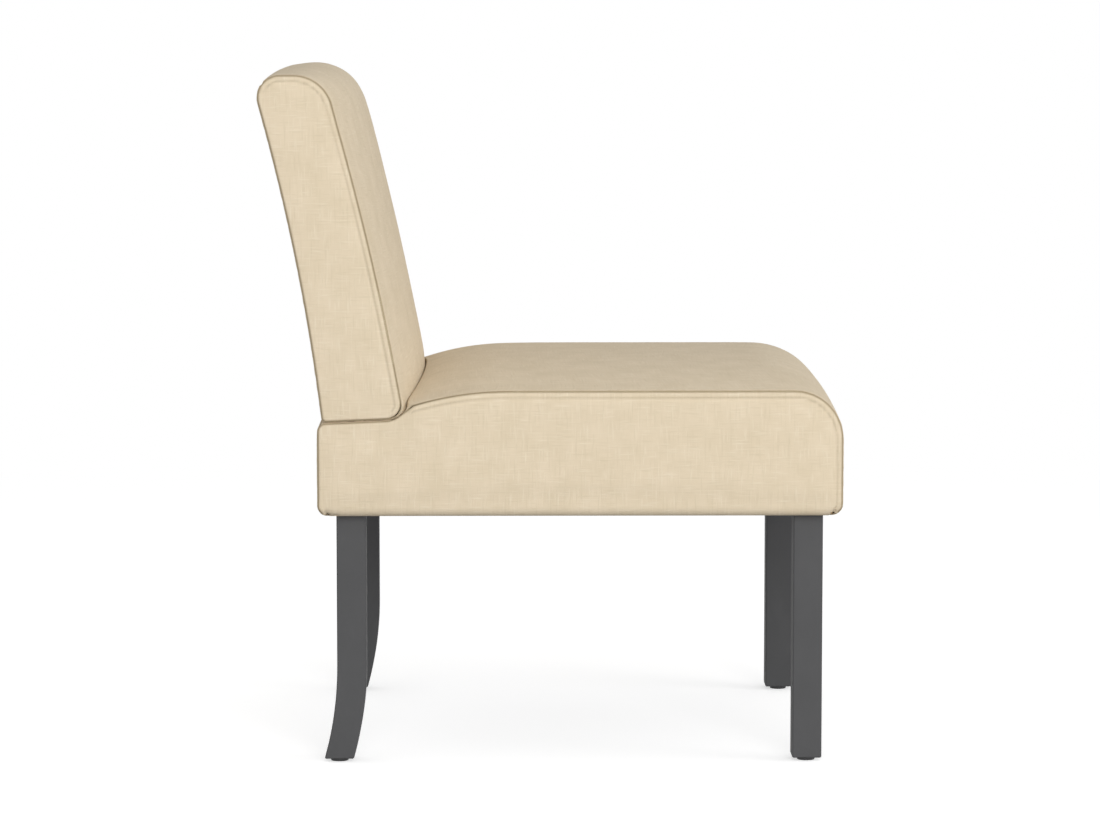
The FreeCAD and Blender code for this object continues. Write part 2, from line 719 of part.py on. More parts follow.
def seat_cover():
    """Make the seat's cover panels, which meet at the seams and fold under the frame."""
    thickness = value("sizes.cover_thickness")
    half = value(HALF_WIDTH)
    bottom, top = value(BODY_BOTTOM), value("sizes.back_seam_height")
    front, rear = value("sizes.seat_front"), -value("sizes.seat_rear")
    turn = value("sizes.cover_turn_under")
    shell = crowned_form(seat_outline, 0).cut(crowned_form(seat_outline, thickness))
    opening = box_between((rear + turn, front - turn), (-half + turn, half - turn),
                          (bottom - 5, bottom + 5))
    shell = shell.cut(opening).cut(post_slots(value("sizes.soft_fit")))
    tools = {}
    for side, sign in SIDES.items():
        slab = box_between((rear - 5, front + 5), (sign * (half - thickness), sign * (half + 5)),
                           (bottom - 5, top))
        fold = box_between((rear + turn, front - turn), (sign * (half - turn), sign * half),
                           (bottom - 5, bottom + 5))
        tools[f"seat_side_panel_{side}"] = slab.fuse(fold)
    inside = half - thickness
    round_end = bottom + value("sizes.seat_rear_bottom_radius")
    slab = box_between((rear - 5, rear + thickness), (-inside, inside),
                       (round_end, value("sizes.seat_ledge_height - sizes.seat_rear_top_radius")))
    fold = box_between((rear - 5, rear + turn), (-inside, inside), (bottom - 5, round_end))
    tools["seat_rear_panel"] = slab.fuse(fold)
    remainder = shell
    for label, tool in tools.items():
        shape_feature(label, shell.common(tool))
        remainder = remainder.cut(tool)
    shape_feature("seat_top_panel", remainder)


def seat_pad():
    """Make the seat's foam, a block on the webbing that is wrapped down round the rails."""
    fit = value("sizes.soft_fit")
    outside = value(FRAME_OUTSIDE) + fit
    around_rails = box_between((value(FRAME_REAR) - fit, value(FRAME_FRONT) + fit),
                               (-outside, outside), (value("sizes.seat_underside"), value(DECK_TOP)))
    pad = crowned_form(seat_outline, value("sizes.cover_thickness") + fit)
    shape_feature("seat_pad", pad.cut([around_rails, post_slots(fit)]))


def rear_curve(inset_rear, inset_front, low, high, half_width):
    """Return a slab that follows the back's rear curve between two horizontal insets."""
    bend = value("sizes.back_bend_height")
    bend_rear = -value("sizes.back_bend_rear")
    low_x = value(lower_line(str(low), "0"))
    high_x = value(upper_line(str(high), "0"))
    radius = value("sizes.back_rear_bend_radius")
    corners = [
        Corner(low_x + inset_rear, low),
        Corner(low_x + inset_front, low),
        Corner(bend_rear + inset_front, bend, radius),
        Corner(high_x + inset_front, high),
        Corner(high_x + inset_rear, high),
        Corner(bend_rear + inset_rear, bend, radius),
    ]
    return Part.Face(rounded_wire(corners, -half_width)).extrude(Vector(0, 2 * half_width, 0))


def back_pad():
    """Make the back's foam, which is wrapped round its frame, and the liner behind the posts."""
    fit = value("sizes.soft_fit")
    low, high = value(f"{BACK_FOOT} + {CORE}"), value(POST_TOP)
    skin = value(POST_SKIN)
    liner_rear = skin - value("sizes.liner_thickness") - fit
    outside = value(FRAME_OUTSIDE)
    shape_feature("back_liner", rear_curve(liner_rear, skin - fit, low + fit, high, outside))
    frame_space = rear_curve(liner_rear - fit, skin + value("sizes.post_depth") + fit, low,
                             high + fit, outside + fit)
    pad = crowned_form(back_outline, value("sizes.cover_thickness") + fit)
    shape_feature("back_pad", pad.cut([frame_space, post_slots(fit)]))


def back_cover():
    """Make the back's cover panels, which meet at the seams."""
    thickness = value("sizes.cover_thickness")
    half = value(HALF_WIDTH)
    shell = crowned_form(back_outline, 0).cut(crowned_form(back_outline, thickness))
    shell = shell.cut(post_slots(value("sizes.soft_fit")))
    low, high = value(BACK_FOOT) - 20, value("sizes.back_seam_height") + 40
    remainder = shell
    span = (-value("sizes.back_top_rear") - 50, 0)
    for side, sign in SIDES.items():
        slab = box_between(span, (sign * (half - thickness), sign * (half + 5)), (low, high))
        shape_feature(f"back_side_panel_{side}", shell.common(slab))
        remainder = remainder.cut(slab)
    behind = rear_curve(-40, value(CORE), low, high, half)
    shape_feature("back_rear_panel", remainder.common(behind))
    shape_feature("back_front_panel", remainder.cut(behind))


def dust_cover():
    """Make the thin sheet under the seat, notched at its corners round the legs."""
    body = new_body("dust_cover", z="sizes.seat_underside")
    outline = new_sketch(body, "outline", "XY_Plane")
    margin = "sizes.dust_cover_margin"
    gap = "(sizes.leg_side / 2 + sizes.dust_cover_leg_gap)"
    rear, front = f"(-sizes.seat_rear + {margin})", f"(sizes.seat_front - {margin})"
    side = f"({HALF_WIDTH} - {margin})"
    notch_rear, notch_front = f"(-sizes.rear_leg_reach + {gap})", f"(sizes.front_leg_reach - {gap})"
    notch_side = f"({LEG_OFFSET} - {gap})"
    draw_outline(outline, [
        (rear, f"-{notch_side}"), (notch_rear, f"-{notch_side}"), (notch_rear, f"-{side}"),
        (notch_front, f"-{side}"), (notch_front, f"-{notch_side}"), (front, f"-{notch_side}"),
        (front, notch_side), (notch_front, notch_side), (notch_front, side),
        (notch_rear, side), (notch_rear, notch_side), (rear, notch_side),
    ])
    pad(body, outline, "sizes.dust_cover_thickness")


def check_document():
    """Stop if a feature failed or a piece has no valid solid."""
    for item in document.Objects:
        if any(word in state for state in item.State for word in ("Invalid", "Error")):
            raise RuntimeError(f"{item.Label} failed: {item.State}")


def pieces():
    """Return the objects that are pieces of the chair."""
    kinds = ("PartDesign::Body", "Part::Box", "Part::Feature")
    return [item for item in document.Objects if item.TypeId in kinds]


def write_pieces():
    """Write each piece to its own file after checking that it is sound."""
    os.makedirs("parts", exist_ok=True)
    for piece in pieces():
        shape = piece.Shape
        if shape.isNull() or not shape.isValid() or not shape.Solids:
            raise RuntimeError(f"{piece.Label} has no valid solid")
        if shape.ShapeType == "Compound" and len(shape.Solids) == 1:
            shape = shape.Solids[0]
        shape.exportStep(f"parts/{piece.Label}.step")


side_frames()
seat_rails()
back_rails()
corner_blocks()
front_legs()
rear_legs()
leg_bolts()
glides()
seat_webbing()
back_webbing()
seat_pad()
back_pad()
seat_cover()
back_cover()
dust_cover()
document.recompute()
check_document()
write_pieces()
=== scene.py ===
"""Looks of an upholstered slipper chair on square, dark lacquered legs.

The chair's front faces +X, its left side +Y and its top +Z. Sizes in the classes are in millimetres.
"""

import logging
import math
from dataclasses import dataclass, field
from enum import Enum

import bmesh
import bpy
import numpy as np
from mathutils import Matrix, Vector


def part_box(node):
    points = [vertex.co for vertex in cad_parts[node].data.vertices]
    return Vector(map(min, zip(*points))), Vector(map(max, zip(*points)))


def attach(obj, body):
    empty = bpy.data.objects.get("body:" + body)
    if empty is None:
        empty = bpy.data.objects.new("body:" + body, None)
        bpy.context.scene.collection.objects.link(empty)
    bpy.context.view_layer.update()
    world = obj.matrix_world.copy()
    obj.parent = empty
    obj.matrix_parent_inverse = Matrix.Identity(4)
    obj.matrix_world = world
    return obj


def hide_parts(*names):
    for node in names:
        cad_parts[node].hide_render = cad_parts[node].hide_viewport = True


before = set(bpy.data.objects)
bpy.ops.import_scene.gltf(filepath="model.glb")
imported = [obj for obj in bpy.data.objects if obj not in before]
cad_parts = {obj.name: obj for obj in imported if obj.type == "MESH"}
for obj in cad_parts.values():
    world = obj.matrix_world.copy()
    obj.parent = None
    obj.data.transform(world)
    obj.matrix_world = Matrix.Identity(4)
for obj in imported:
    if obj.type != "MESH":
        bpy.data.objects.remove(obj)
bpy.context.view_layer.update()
LOG = logging.getLogger("slipper_chair")
MM = 0.001
CLOTH_MAP = "cloth"
# The attribute that holds how much painted shade each cover point gets in the seams and along the stitches.
SEAM_SHADE = "crease"
Array = np.ndarray


class Side(Enum):
    """A side of the chair, as the sign of Y."""

    LEFT = 1
    RIGHT = -1

    @property
    def word(self) -> str:
        """The side's word in a piece's name."""
        return self.name.lower()


# ---------------------------------------------------------------------------------------------
# Curves and surfaces
# ---------------------------------------------------------------------------------------------


def unit(vectors: Array) -> Array:
    """Returns vectors along the last axis with a length of one."""
    return vectors / np.maximum(np.linalg.norm(vectors, axis=-1, keepdims=True), 1e-12)


def lengths_along(path: Array) -> Array:
    """Returns the distance of each point of a path from its start, the sum of the steps so far."""
    steps = np.linalg.norm(np.diff(path, axis=0), axis=-1)
    return np.concatenate([[0.0], np.cumsum(steps)])


def points_at(path: Array, distances: Array) -> Array:
    """Returns the points of a path at given distances from its start, straight between its own."""
    along = lengths_along(path)
    return np.stack([np.interp(distances, along, path[:, axis]) for axis in range(path.shape[1])], -1)


def rounded(corners: Array, step: float) -> tuple[Array, list[int]]:
    """Traces open paths that run straight between corners and round each inner one.

    A round is a circle that touches both its sides: its centre lies on their bisector, at the
    radius over the sine of half the corner's angle, and its spoke turns evenly.

    Args:
        corners: The corners as (paths, corners, 3), with x, z and radius.
        step: The longest distance between two points.

    Returns:
        The points as (paths, points, 2), and the index of the middle of each inner corner.
    """
    point, radius = corners[..., :2], corners[..., 2]
    runs, middles, count = [point[:, :1]], [], 1
    for number in range(1, corners.shape[1] - 1):
        back = unit(point[:, number - 1] - point[:, number])
        ahead = unit(point[:, number + 1] - point[:, number])
        half = np.arccos(np.clip((back * ahead).sum(-1), -1, 1)) / 2
        reach = radius[:, number]
        start = point[:, number] + back * (reach / np.tan(half))[:, None]
        if reach.max() < 1e-6:
            arc = point[:, number:number + 1]
        else:
            centre = point[:, number] + unit(back + ahead) * (reach / np.sin(half))[:, None]
            turn = np.pi - 2 * half
            turn *= np.sign(back[:, 1] * ahead[:, 0] - back[:, 0] * ahead[:, 1])
            parts = 2 * max(3, math.ceil(np.abs(reach * turn).max() / step / 2))
            angle = turn[:, None] * np.linspace(0, 1, parts + 1)
            spoke = (start - centre)[:, None]
            turned = [spoke[..., 0] * np.cos(angle) - spoke[..., 1] * np.sin(angle),
                      spoke[..., 0] * np.sin(angle) + spoke[..., 1] * np.cos(angle)]
            arc = centre[:, None] + np.stack(turned, -1)
        line = straight(runs[-1][:, -1], arc[:, 0], step)
        runs += [line, arc]
        middles.append(count + line.shape[1] + arc.shape[1] // 2)
        count += line.shape[1] + arc.shape[1]
    runs += [straight(runs[-1][:, -1], point[:, -1], step), point[:, -1:]]
    return np.concatenate(runs, axis=1), middles


def straight(start: Array, end: Array, step: float) -> Array:
    """Returns the points between the ends of straight lines, evenly spaced, without the ends.

    Args:
        start: The first end of each line, as (lines, 2).
        end: The other end of each line.
        step: The longest distance between two points.

    Returns:
        The points as (lines, points, 2).
    """
    parts = max(1, math.ceil(np.linalg.norm(end - start, axis=-1).max() / step))
    share = np.linspace(0, 1, parts + 1)[1:-1, None]
    return start[:, None] + (end - start)[:, None] * share


def inset(corners: Array, distances: Array) -> Array:
    """Moves the sides of anticlockwise outlines inwards and changes their radii to suit.

    Args:
        corners: The closed outlines as (outlines, corners, 3), with x, z and radius.
        distances: How far each side moves; side i runs from corner i to the next.

    Returns:
        The moved corners, each where its two moved sides cross.
    """
    point = corners[..., :2]
    ahead = unit(np.roll(point, -1, axis=1) - point)
    back = np.roll(ahead, 1, axis=1)
    before, after = np.roll(distances, 1)[None, :], distances[None, :]
    cross = back[..., 0] * ahead[..., 1] - back[..., 1] * ahead[..., 0]
    moved = corners.copy()
    moved[..., :2] += (ahead * before[..., None] - back * after[..., None]) / cross[..., None]
    mean = (before + after) / 2
    moved[..., 2] = np.where(corners[..., 2] > 0,
                             np.maximum(corners[..., 2] - np.sign(cross) * mean, 0.5), 0)
    return moved


def gathered(length: float, step: float, start: float) -> Array:
    """Returns distances along a length that lie close together near both of its ends.

    The steps grow by a third each from 0.35 mm up to the full step.

    Args:
        length: The whole length.
        step: The step in the middle.
        start: The first distance; the last is as far from the other end.

    Returns:
        The distances, in order.
    """
    growing = 0.35 * (4 / 3) ** np.arange(40)
    near = start + np.concatenate([[0.0], np.cumsum(growing[growing < step])])
    near = near[near < length / 2 - step / 2]
    parts = max(1, round((length - 2 * near[-1]) / step))
    middle = np.linspace(near[-1], length - near[-1], parts + 1)[1:-1]
    return np.concatenate([near, middle, length - near[::-1]])


def patch(bottom: Array, top: Array, left: Array, right: Array) -> Array:
    """Fills the room between four edges with a Coons patch.

    A point is the blend of bottom and top plus the blend of left and right, less the blend of the
    four corners.

    Args:
        bottom: Its points from left to right, as (columns, 2); top has as many.
        top: The opposite edge, from left to right.
        left: Its points from bottom to top, as (rows, 2); right has as many.
        right: The opposite edge, from bottom to top.

    Returns:
        The points as (rows, columns, 2).
    """
    across = share_of(bottom, top)[None, :, None]
    up = share_of(left, right)[:, None, None]
    ruled = (1 - up) * bottom[None] + up * top[None] + (1 - across) * left[:, None] + across * right[:, None]
    corners = (1 - up) * ((1 - across) * bottom[0] + across * bottom[-1])
    return ruled - corners - up * ((1 - across) * top[0] + across * top[-1])


def share_of(first: Array, second: Array) -> Array:
    """Returns each point's share of the way along two matching edges, the mean of the two."""
    along = [lengths_along(first), lengths_along(second)]
    return (along[0] / along[0][-1] + along[1] / along[1][-1]) / 2


def distance_to(points: Array, path: Array) -> Array:
    """Returns how far points lie from a path, measured square to its nearest step.

    Args:
        points: The points, as (..., 2).
        path: The path's points, as (count, 2).

    Returns:
        The distances, without the last axis.
    """
    flat = points.reshape(-1, 1, 2)
    start, step = path[:-1], np.diff(path, axis=0)
    share = ((flat - start) * step).sum(-1) / np.maximum((step ** 2).sum(-1), 1e-9)
    nearest = start + step * np.clip(share, 0, 1)[..., None]
    return np.linalg.norm(flat - nearest, axis=-1).min(-1).reshape(points.shape[:-1])


def normals_of(grid: Array, outward: Array) -> Array:
    """Returns a grid's unit normals, the cross product of its two directions.

    Args:
        grid: The points, as (rows, columns, 3).
        outward: A direction that the middle normal points along.

    Returns:
        The normals, as large as the grid.
    """
    normal = unit(np.cross(np.gradient(grid, axis=0), np.gradient(grid, axis=1)))
    middle = normal[normal.shape[0] // 2, normal.shape[1] // 2]
    return normal * np.sign(middle @ outward)


def resampled(values: Array, old: Array, new: Array) -> Array:
    """Returns values at new places on axis 0, on smooth cubic curves through the old ones.

    Args:
        values: The values, one row for each old place.
        old: The places they are known at, rising.
        new: The places wanted.

    Returns:
        The values at the new places.
    """
    slope = np.gradient(values, old, axis=0)
    cell = np.clip(np.searchsorted(old, new, side="right") - 1, 0, len(old) - 2)
    width = (old[cell + 1] - old[cell])[:, None]
    share = (new - old[cell])[:, None] / width
    rest = 1 - share
    return (values[cell] * (1 + 2 * share) * rest ** 2 + values[cell + 1] * (3 - 2 * share) * share ** 2
            + slope[cell] * width * share * rest ** 2 - slope[cell + 1] * width * share ** 2 * rest)


def ripple(places: Array, wavelength: float, seed: int) -> Array:
    """Returns an uneven ripple from -1 to 1: seven sines of near wavelengths with seeded phases.

    Args:
        places: Where it is wanted, in millimetres.
        wavelength: The middle wavelength.
        seed: Seeds the phases.

    Returns:
        The ripple at each place.
    """
    random = np.random.default_rng(seed)
    waves = 2 * np.pi / (wavelength * random.uniform(0.6, 1.9, 7))
    phases = random.uniform(0, 2 * np.pi, 7)
    return np.sin(places[..., None] * waves + phases).sum(-1) / 4.2


def quads_of(rows: int, columns: int, around: bool = False) -> Array:
    """Returns the four-sided faces of a grid, as vertex numbers.

    Args:
        rows: How many rows of vertices the grid has.
        columns: How many vertices a row has.
        around: Whether each row closes on itself.

    Returns:
        The faces as (count, 4).
    """
    number = np.arange(rows * columns).reshape(rows, columns)
    if around:
        number = np.concatenate([number, number[:, :1]], axis=1)
    cells = [number[:-1, :-1], number[:-1, 1:], number[1:, 1:], number[1:, :-1]]
    return np.stack(cells, -1).reshape(-1, 4)


def make_object(name: str, points: Array, faces: Array, flat: Array | None = None,
                crease: Array | None = None) -> bpy.types.Object:
    """Puts points and faces into a smooth-shaded object at the origin.

    Args:
        name: The piece's name.
        points: The points in millimetres, as (..., 3).
        faces: The faces as vertex numbers.
        flat: Where each point lies on the flat cloth, in millimetres.
        crease: How near to a seam or a row of stitches each point lies, from 0 to 1, which sets its painted
            shade.

    Returns:
        The object.
    """
    mesh = bpy.data.meshes.new(name)
    mesh.from_pydata((points.reshape(-1, 3) * MM).tolist(), [], faces.tolist())
    mesh.polygons.foreach_set("use_smooth", np.ones(len(mesh.polygons), dtype=bool))
    if flat is not None:
        corner = np.empty(len(mesh.loops), dtype=np.int32)
        mesh.loops.foreach_get("vertex_index", corner)
        layer = mesh.uv_layers.new(name=CLOTH_MAP)
        layer.data.foreach_set("uv", (flat.reshape(-1, 2)[corner] * MM).ravel().astype(np.float32))
    if crease is not None:
        layer = mesh.attributes.new(SEAM_SHADE, "FLOAT", "POINT")
        layer.data.foreach_set("value", crease.ravel().astype(np.float32))
    mesh.update()
    made = bpy.data.objects.new(name, mesh)
    bpy.context.scene.collection.objects.link(made)
    return made


def weld(made: bpy.types.Object, gap: float = 0.002) -> None:
    """Merges a piece's points that lie closer than a gap in millimetres, and turns its faces out.

    Args:
        made: The piece.
        gap: The gap in millimetres.
    """
    work = bmesh.new()
    work.from_mesh(made.data)
    bmesh.ops.remove_doubles(work, verts=work.verts, dist=gap * MM)
    bmesh.ops.recalc_face_normals(work, faces=work.faces)
    work.to_mesh(made.data)
    work.free()
    made.data.update()


def thicken(made: bpy.types.Object, thickness: float) -> None:
    """Gives a sheet its thickness in millimetres, on its inner side.

    Args:
        made: The sheet.
        thickness: Its thickness.
    """
    solid = made.modifiers.new("thickness", "SOLIDIFY")
    solid.thickness = thickness * MM
    solid.offset = -1
    solid.use_even_offset = False


# ---------------------------------------------------------------------------------------------
# Finishes
# ---------------------------------------------------------------------------------------------


def tint(code: str) -> tuple[float, float, float, float]:
    """Turns an sRGB hex value such as "#e0d0b0" to a linear colour.

    Args:
        code: The hex value.

    Returns:
        Red, green, blue and alpha.
    """
    shares = [int(code[place:place + 2], 16) / 255 for place in (1, 3, 5)]
    linear = [s / 12.92 if s <= 0.04045 else ((s + 0.055) / 1.055) ** 2.4 for s in shares]
    return (*linear, 1.0)


def add(tree: bpy.types.NodeTree, kind: str, inputs: dict | None = None, **settings) -> bpy.types.Node:
    """Adds a shader node to a tree.

    Args:
        tree: The node tree.
        kind: The node's type without its ShaderNode.
        inputs: Values for its inputs, or the outputs that feed them, by name or number.
        settings: Its own properties.

    Returns:
        The node.
    """
    node = tree.nodes.new(f"ShaderNode{kind}")
    for name, value in settings.items():
        setattr(node, name, value)
    for key, value in (inputs or {}).items():
        if isinstance(value, bpy.types.NodeSocket):
            tree.links.new(value, node.inputs[key])
        else:
            node.inputs[key].default_value = value
    return node


def new_material(name: str) -> tuple[bpy.types.Material, bpy.types.NodeTree]:
    """Returns a new material with an empty node tree, and the tree.

    Args:
        name: What the material really is.

    Returns:
        The material and its tree.
    """
    material = bpy.data.materials.new(name)
    material.use_nodes = True
    material.node_tree.nodes.clear()
    return material, material.node_tree


def scaled(tree: bpy.types.NodeTree, vector: bpy.types.NodeSocket, sizes: tuple[float, float, float],
           place: tuple[float, float, float] = (0, 0, 0)) -> bpy.types.NodeSocket:
    """Returns coordinates in metres as counts of a pattern's real sizes in millimetres.

    Args:
        tree: The node tree.
        vector: The coordinates in metres.
        sizes: The pattern's size along each axis.
        place: How far the pattern is shifted, in its own units.

    Returns:
        The new coordinates.
    """
    counts = tuple(1000 / size for size in sizes)
    return add(tree, "Mapping", {"Vector": vector, "Scale": counts, "Location": place}).outputs["Vector"]


@dataclass(frozen=True)
class LinenCloth:
    """Plain-woven polyester cloth with the slubs of linen.

    Its yarn is spun unevenly: short thick lengths of thread show as small darker and paler
    streaks both ways. The cloth is matt, with a faint halo of fibre ends at grazing angles.
    """

    name: str = "linen_look_woven_polyester"
    ground: str = "#e3d3b9"
    shade: str = "#cbbb9c"
    pale: str = "#efe4cf"
    # The colour of the painted shade in the seams and along the rows of stitches.
    crease: str = "#8c7a5c"
    thread_pitch: float = 0.95
    slub_length: float = 24.0
    slub_width: float = 2.0

    def material(self) -> bpy.types.Material:
        """Returns the cloth's material, drawn on the flat cloth's own coordinates, with painted shade in its
        seams and along its stitches.

        Returns:
            The material.
        """
        material, tree = new_material(self.name)
        cloth = add(tree, "UVMap", uv_map=CLOTH_MAP).outputs["UV"]
        length, width = self.slub_length, self.slub_width
        across = self.streaks(tree, scaled(tree, cloth, (length, width, 1)), 0.54, 0.80)
        upright = self.streaks(tree, scaled(tree, cloth, (width, length * 1.3, 1), (7, 3, 0)), 0.54, 0.80)
        pale_across = self.streaks(tree, scaled(tree, cloth, (length, width, 1), (31, 17, 0)), 0.56, 0.82)
        pale_upright = self.streaks(tree, scaled(tree, cloth, (width, length, 1), (3, 53, 0)), 0.56, 0.82)
        dark = add(tree, "Math", {0: across, 1: upright}, operation="MAXIMUM").outputs[0]
        pale = add(tree, "Math", {0: pale_across, 1: pale_upright}, operation="MAXIMUM").outputs[0]
        cloud = add(tree, "TexNoise", {"Vector": scaled(tree, cloth, (30, 38, 1)), "Scale": 1.0,
                                       "Detail": 3.0})
        clouded = add(tree, "MapRange", {"Value": cloud.outputs[0], "From Min": 0.3, "From Max": 0.7,
                                         "To Min": 0.0, "To Max": 0.3}).outputs[0]
        mixed = self.mix(tree, clouded, tint(self.ground), tint(self.shade))
        mixed = self.mix(tree, self.portion(tree, dark, 0.42), mixed, tint(self.shade))
        mixed = self.mix(tree, self.portion(tree, pale, 0.50), mixed, tint(self.pale))
        # Painted shade: the cloth turns towards the darker seam colour in the seams and along the stitches.
        sewn = add(tree, "Attribute", attribute_name=SEAM_SHADE).outputs["Fac"]
        mixed = self.mix(tree, self.portion(tree, sewn, 0.75), mixed, tint(self.crease))
        weave = self.weave(tree, cloth)
        raised = add(tree, "Math", {0: dark, 1: 0.5, 2: weave}, operation="MULTIPLY_ADD").outputs[0]
        raised = add(tree, "Math", {0: pale, 1: 0.6, 2: raised}, operation="MULTIPLY_ADD").outputs[0]
        bump = add(tree, "Bump", {"Height": raised, "Strength": 0.35, "Distance": 0.0003})
        shader = add(tree, "BsdfPrincipled", {
            "Base Color": mixed, "Roughness": 0.92, "IOR": 1.5, "Specular IOR Level": 0.1,
            "Sheen Weight": 0.04, "Sheen Roughness": 0.45, "Normal": bump.outputs["Normal"]})
        add(tree, "OutputMaterial", {"Surface": shader.outputs[0]})
        return material

    def streaks(self, tree: bpy.types.NodeTree, vector: bpy.types.NodeSocket, low: float,
                high: float) -> bpy.types.NodeSocket:
        """Returns where thick lengths of yarn lie: the high parts of a stretched noise."""
        noise = add(tree, "TexNoise", {"Vector": vector, "Scale": 1.0, "Detail": 2.0, "Roughness": 0.45})
        return add(tree, "MapRange", {"Value": noise.outputs[0], "From Min": low, "From Max": high}).outputs[0]

    def weave(self, tree: bpy.types.NodeTree, cloth: bpy.types.NodeSocket) -> bpy.types.NodeSocket:
        """Returns the height of a plain weave: the product of a sine along each thread direction.

        Args:
            tree: The material's tree.
            cloth: The place on the flat cloth.

        Returns:
            The height.
        """
        turn = 2000 * math.pi / (2 * self.thread_pitch)
        apart = add(tree, "SeparateXYZ", {"Vector": cloth})
        waves = [add(tree, "Math", {0: add(tree, "Math", {0: apart.outputs[axis], 1: turn},
                                           operation="MULTIPLY").outputs[0]}, operation="SINE").outputs[0]
                 for axis in (0, 1)]
        crossed = add(tree, "Math", {0: waves[0], 1: waves[1]}, operation="MULTIPLY").outputs[0]
        return add(tree, "Math", {0: crossed}, operation="ABSOLUTE").outputs[0]

    def portion(self, tree: bpy.types.NodeTree, value: bpy.types.NodeSocket,
                share: float) -> bpy.types.NodeSocket:
        """Returns a share of a value."""
        return add(tree, "Math", {0: value, 1: share}, operation="MULTIPLY").outputs[0]

    def mix(self, tree: bpy.types.NodeTree, share: bpy.types.NodeSocket, first: object,
            second: object) -> bpy.types.NodeSocket:
        """Returns the mix of two colours."""
        return add(tree, "Mix", {0: share, 6: first, 7: second}, data_type="RGBA").outputs[2]


@dataclass(frozen=True)
class SewingThread:
    """Bonded polyester thread: smooth, twisted and a little glossier than the cloth."""

    name: str = "bonded_polyester_thread"
    colour: str = "#d3c4a6"
    twist: float = 0.5

    def material(self) -> bpy.types.Material:
        """Returns the thread's material, with its twist as fine bands.

        Returns:
            The material.
        """
        material, tree = new_material(self.name)
        place = add(tree, "TexCoord").outputs["Object"]
        noise = add(tree, "TexNoise", {"Vector": scaled(tree, place, (self.twist,) * 3), "Scale": 1.0})
        tone = add(tree, "MapRange", {"Value": noise.outputs[0], "To Min": 0.85, "To Max": 1.1}).outputs[0]
        colour = add(tree, "VectorMath", {0: tint(self.colour)[:3], "Scale": tone}, operation="SCALE")
        bump = add(tree, "Bump", {"Height": noise.outputs[0], "Strength": 0.3, "Distance": 0.0001})
        shader = add(tree, "BsdfPrincipled", {
            "Base Color": colour.outputs[0], "Roughness": 0.6, "IOR": 1.5,
            "Normal": bump.outputs["Normal"]})
        add(tree, "OutputMaterial", {"Surface": shader.outputs[0]})
        return material


@dataclass(frozen=True)
class LacqueredBeech:
    """Beech under satin grey lacquer, sprayed.

    The lacquer hides the colour of the wood but not its long fine pores, and it lies a little
    uneven, which softens the reflections. Its tone varies at random, in places very slightly paler.
    """

    name: str = "satin_lacquered_beech"
    colour: str = "#525253"
    rubbed: str = "#5d5d5e"
    pore_length: float = 28.0
    pore_width: float = 0.8

    def material(self) -> bpy.types.Material:
        """Returns the lacquer's material, with the pores along Z.

        Returns:
            The material.
        """
        material, tree = new_material(self.name)
        place = add(tree, "TexCoord").outputs["Object"]
        pores = add(tree, "TexNoise", {
            "Vector": scaled(tree, place, (self.pore_width, self.pore_width, self.pore_length)),
            "Scale": 1.0, "Detail": 3.0, "Roughness": 0.6})
        mist = add(tree, "TexNoise", {"Vector": scaled(tree, place, (35, 35, 60)), "Scale": 1.0,
                                      "Detail": 4.0})
        share = add(tree, "MapRange", {"Value": mist.outputs[0], "From Min": 0.35, "From Max": 0.75,
                                       "To Max": 0.4}).outputs[0]
        toned = add(tree, "Mix", {0: share, 6: tint(self.colour), 7: tint(self.rubbed)}, data_type="RGBA")
        peel = add(tree, "TexNoise", {"Vector": scaled(tree, place, (2.2,) * 3), "Scale": 1.0})
        height = add(tree, "Math", {0: pores.outputs[0], 1: 0.7, 2: peel.outputs[0]}, operation="MULTIPLY_ADD")
        bump = add(tree, "Bump", {"Height": height.outputs[0], "Strength": 0.22, "Distance": 0.0002})
        rough = add(tree, "MapRange", {"Value": mist.outputs[0], "To Min": 0.58, "To Max": 0.7}).outputs[0]
        shader = add(tree, "BsdfPrincipled", {
            "Base Color": toned.outputs[2], "Roughness": rough, "IOR": 1.5, "Specular IOR Level": 0.15,
            "Normal": bump.outputs["Normal"]})
        add(tree, "OutputMaterial", {"Surface": shader.outputs[0]})
        return material


@dataclass(frozen=True)
class MottledSolid:
    """A solid stuff whose tone and height vary with one noise, for plastic, board, foam and steel."""

    name: str
    colour: str
    darker: str
    grain: tuple[float, float, float]
    roughness: float
    depth: float
    metallic: float = 0.0
    detail: float = 4.0

    def material(self) -> bpy.types.Material:
        """Returns the material, its noise as large as the real grain in millimetres.

        Returns:
            The material.
        """
        material, tree = new_material(self.name)
        place = add(tree, "TexCoord").outputs["Object"]
        grain = add(tree, "TexNoise", {"Vector": scaled(tree, place, self.grain), "Scale": 1.0,
                                       "Detail": self.detail, "Roughness": 0.6})
        share = add(tree, "MapRange", {"Value": grain.outputs[0], "From Min": 0.3, "From Max": 0.7}).outputs[0]
        toned = add(tree, "Mix", {0: share, 6: tint(self.colour), 7: tint(self.darker)}, data_type="RGBA")
        bump = add(tree, "Bump", {"Height": grain.outputs[0], "Strength": 0.5, "Distance": self.depth * MM})
        shader = add(tree, "BsdfPrincipled", {
            "Base Color": toned.outputs[2], "Roughness": self.roughness, "Metallic": self.metallic,
            "Normal": bump.outputs["Normal"]})
        add(tree, "OutputMaterial", {"Surface": shader.outputs[0]})
        return material


# Polypropylene, moulded black: a fine spark-eroded grain, satin.
GLIDE_PLASTIC = MottledSolid("moulded_black_polypropylene", "#3b3b3c", "#303031", (0.35,) * 3, 0.5, 0.03)
# Steel, zinc-plated: bright and a little cloudy.
ZINC_STEEL = MottledSolid("zinc_plated_steel", "#c9ccce", "#a9acb0", (3.0,) * 3, 0.32, 0.02, 1.0)
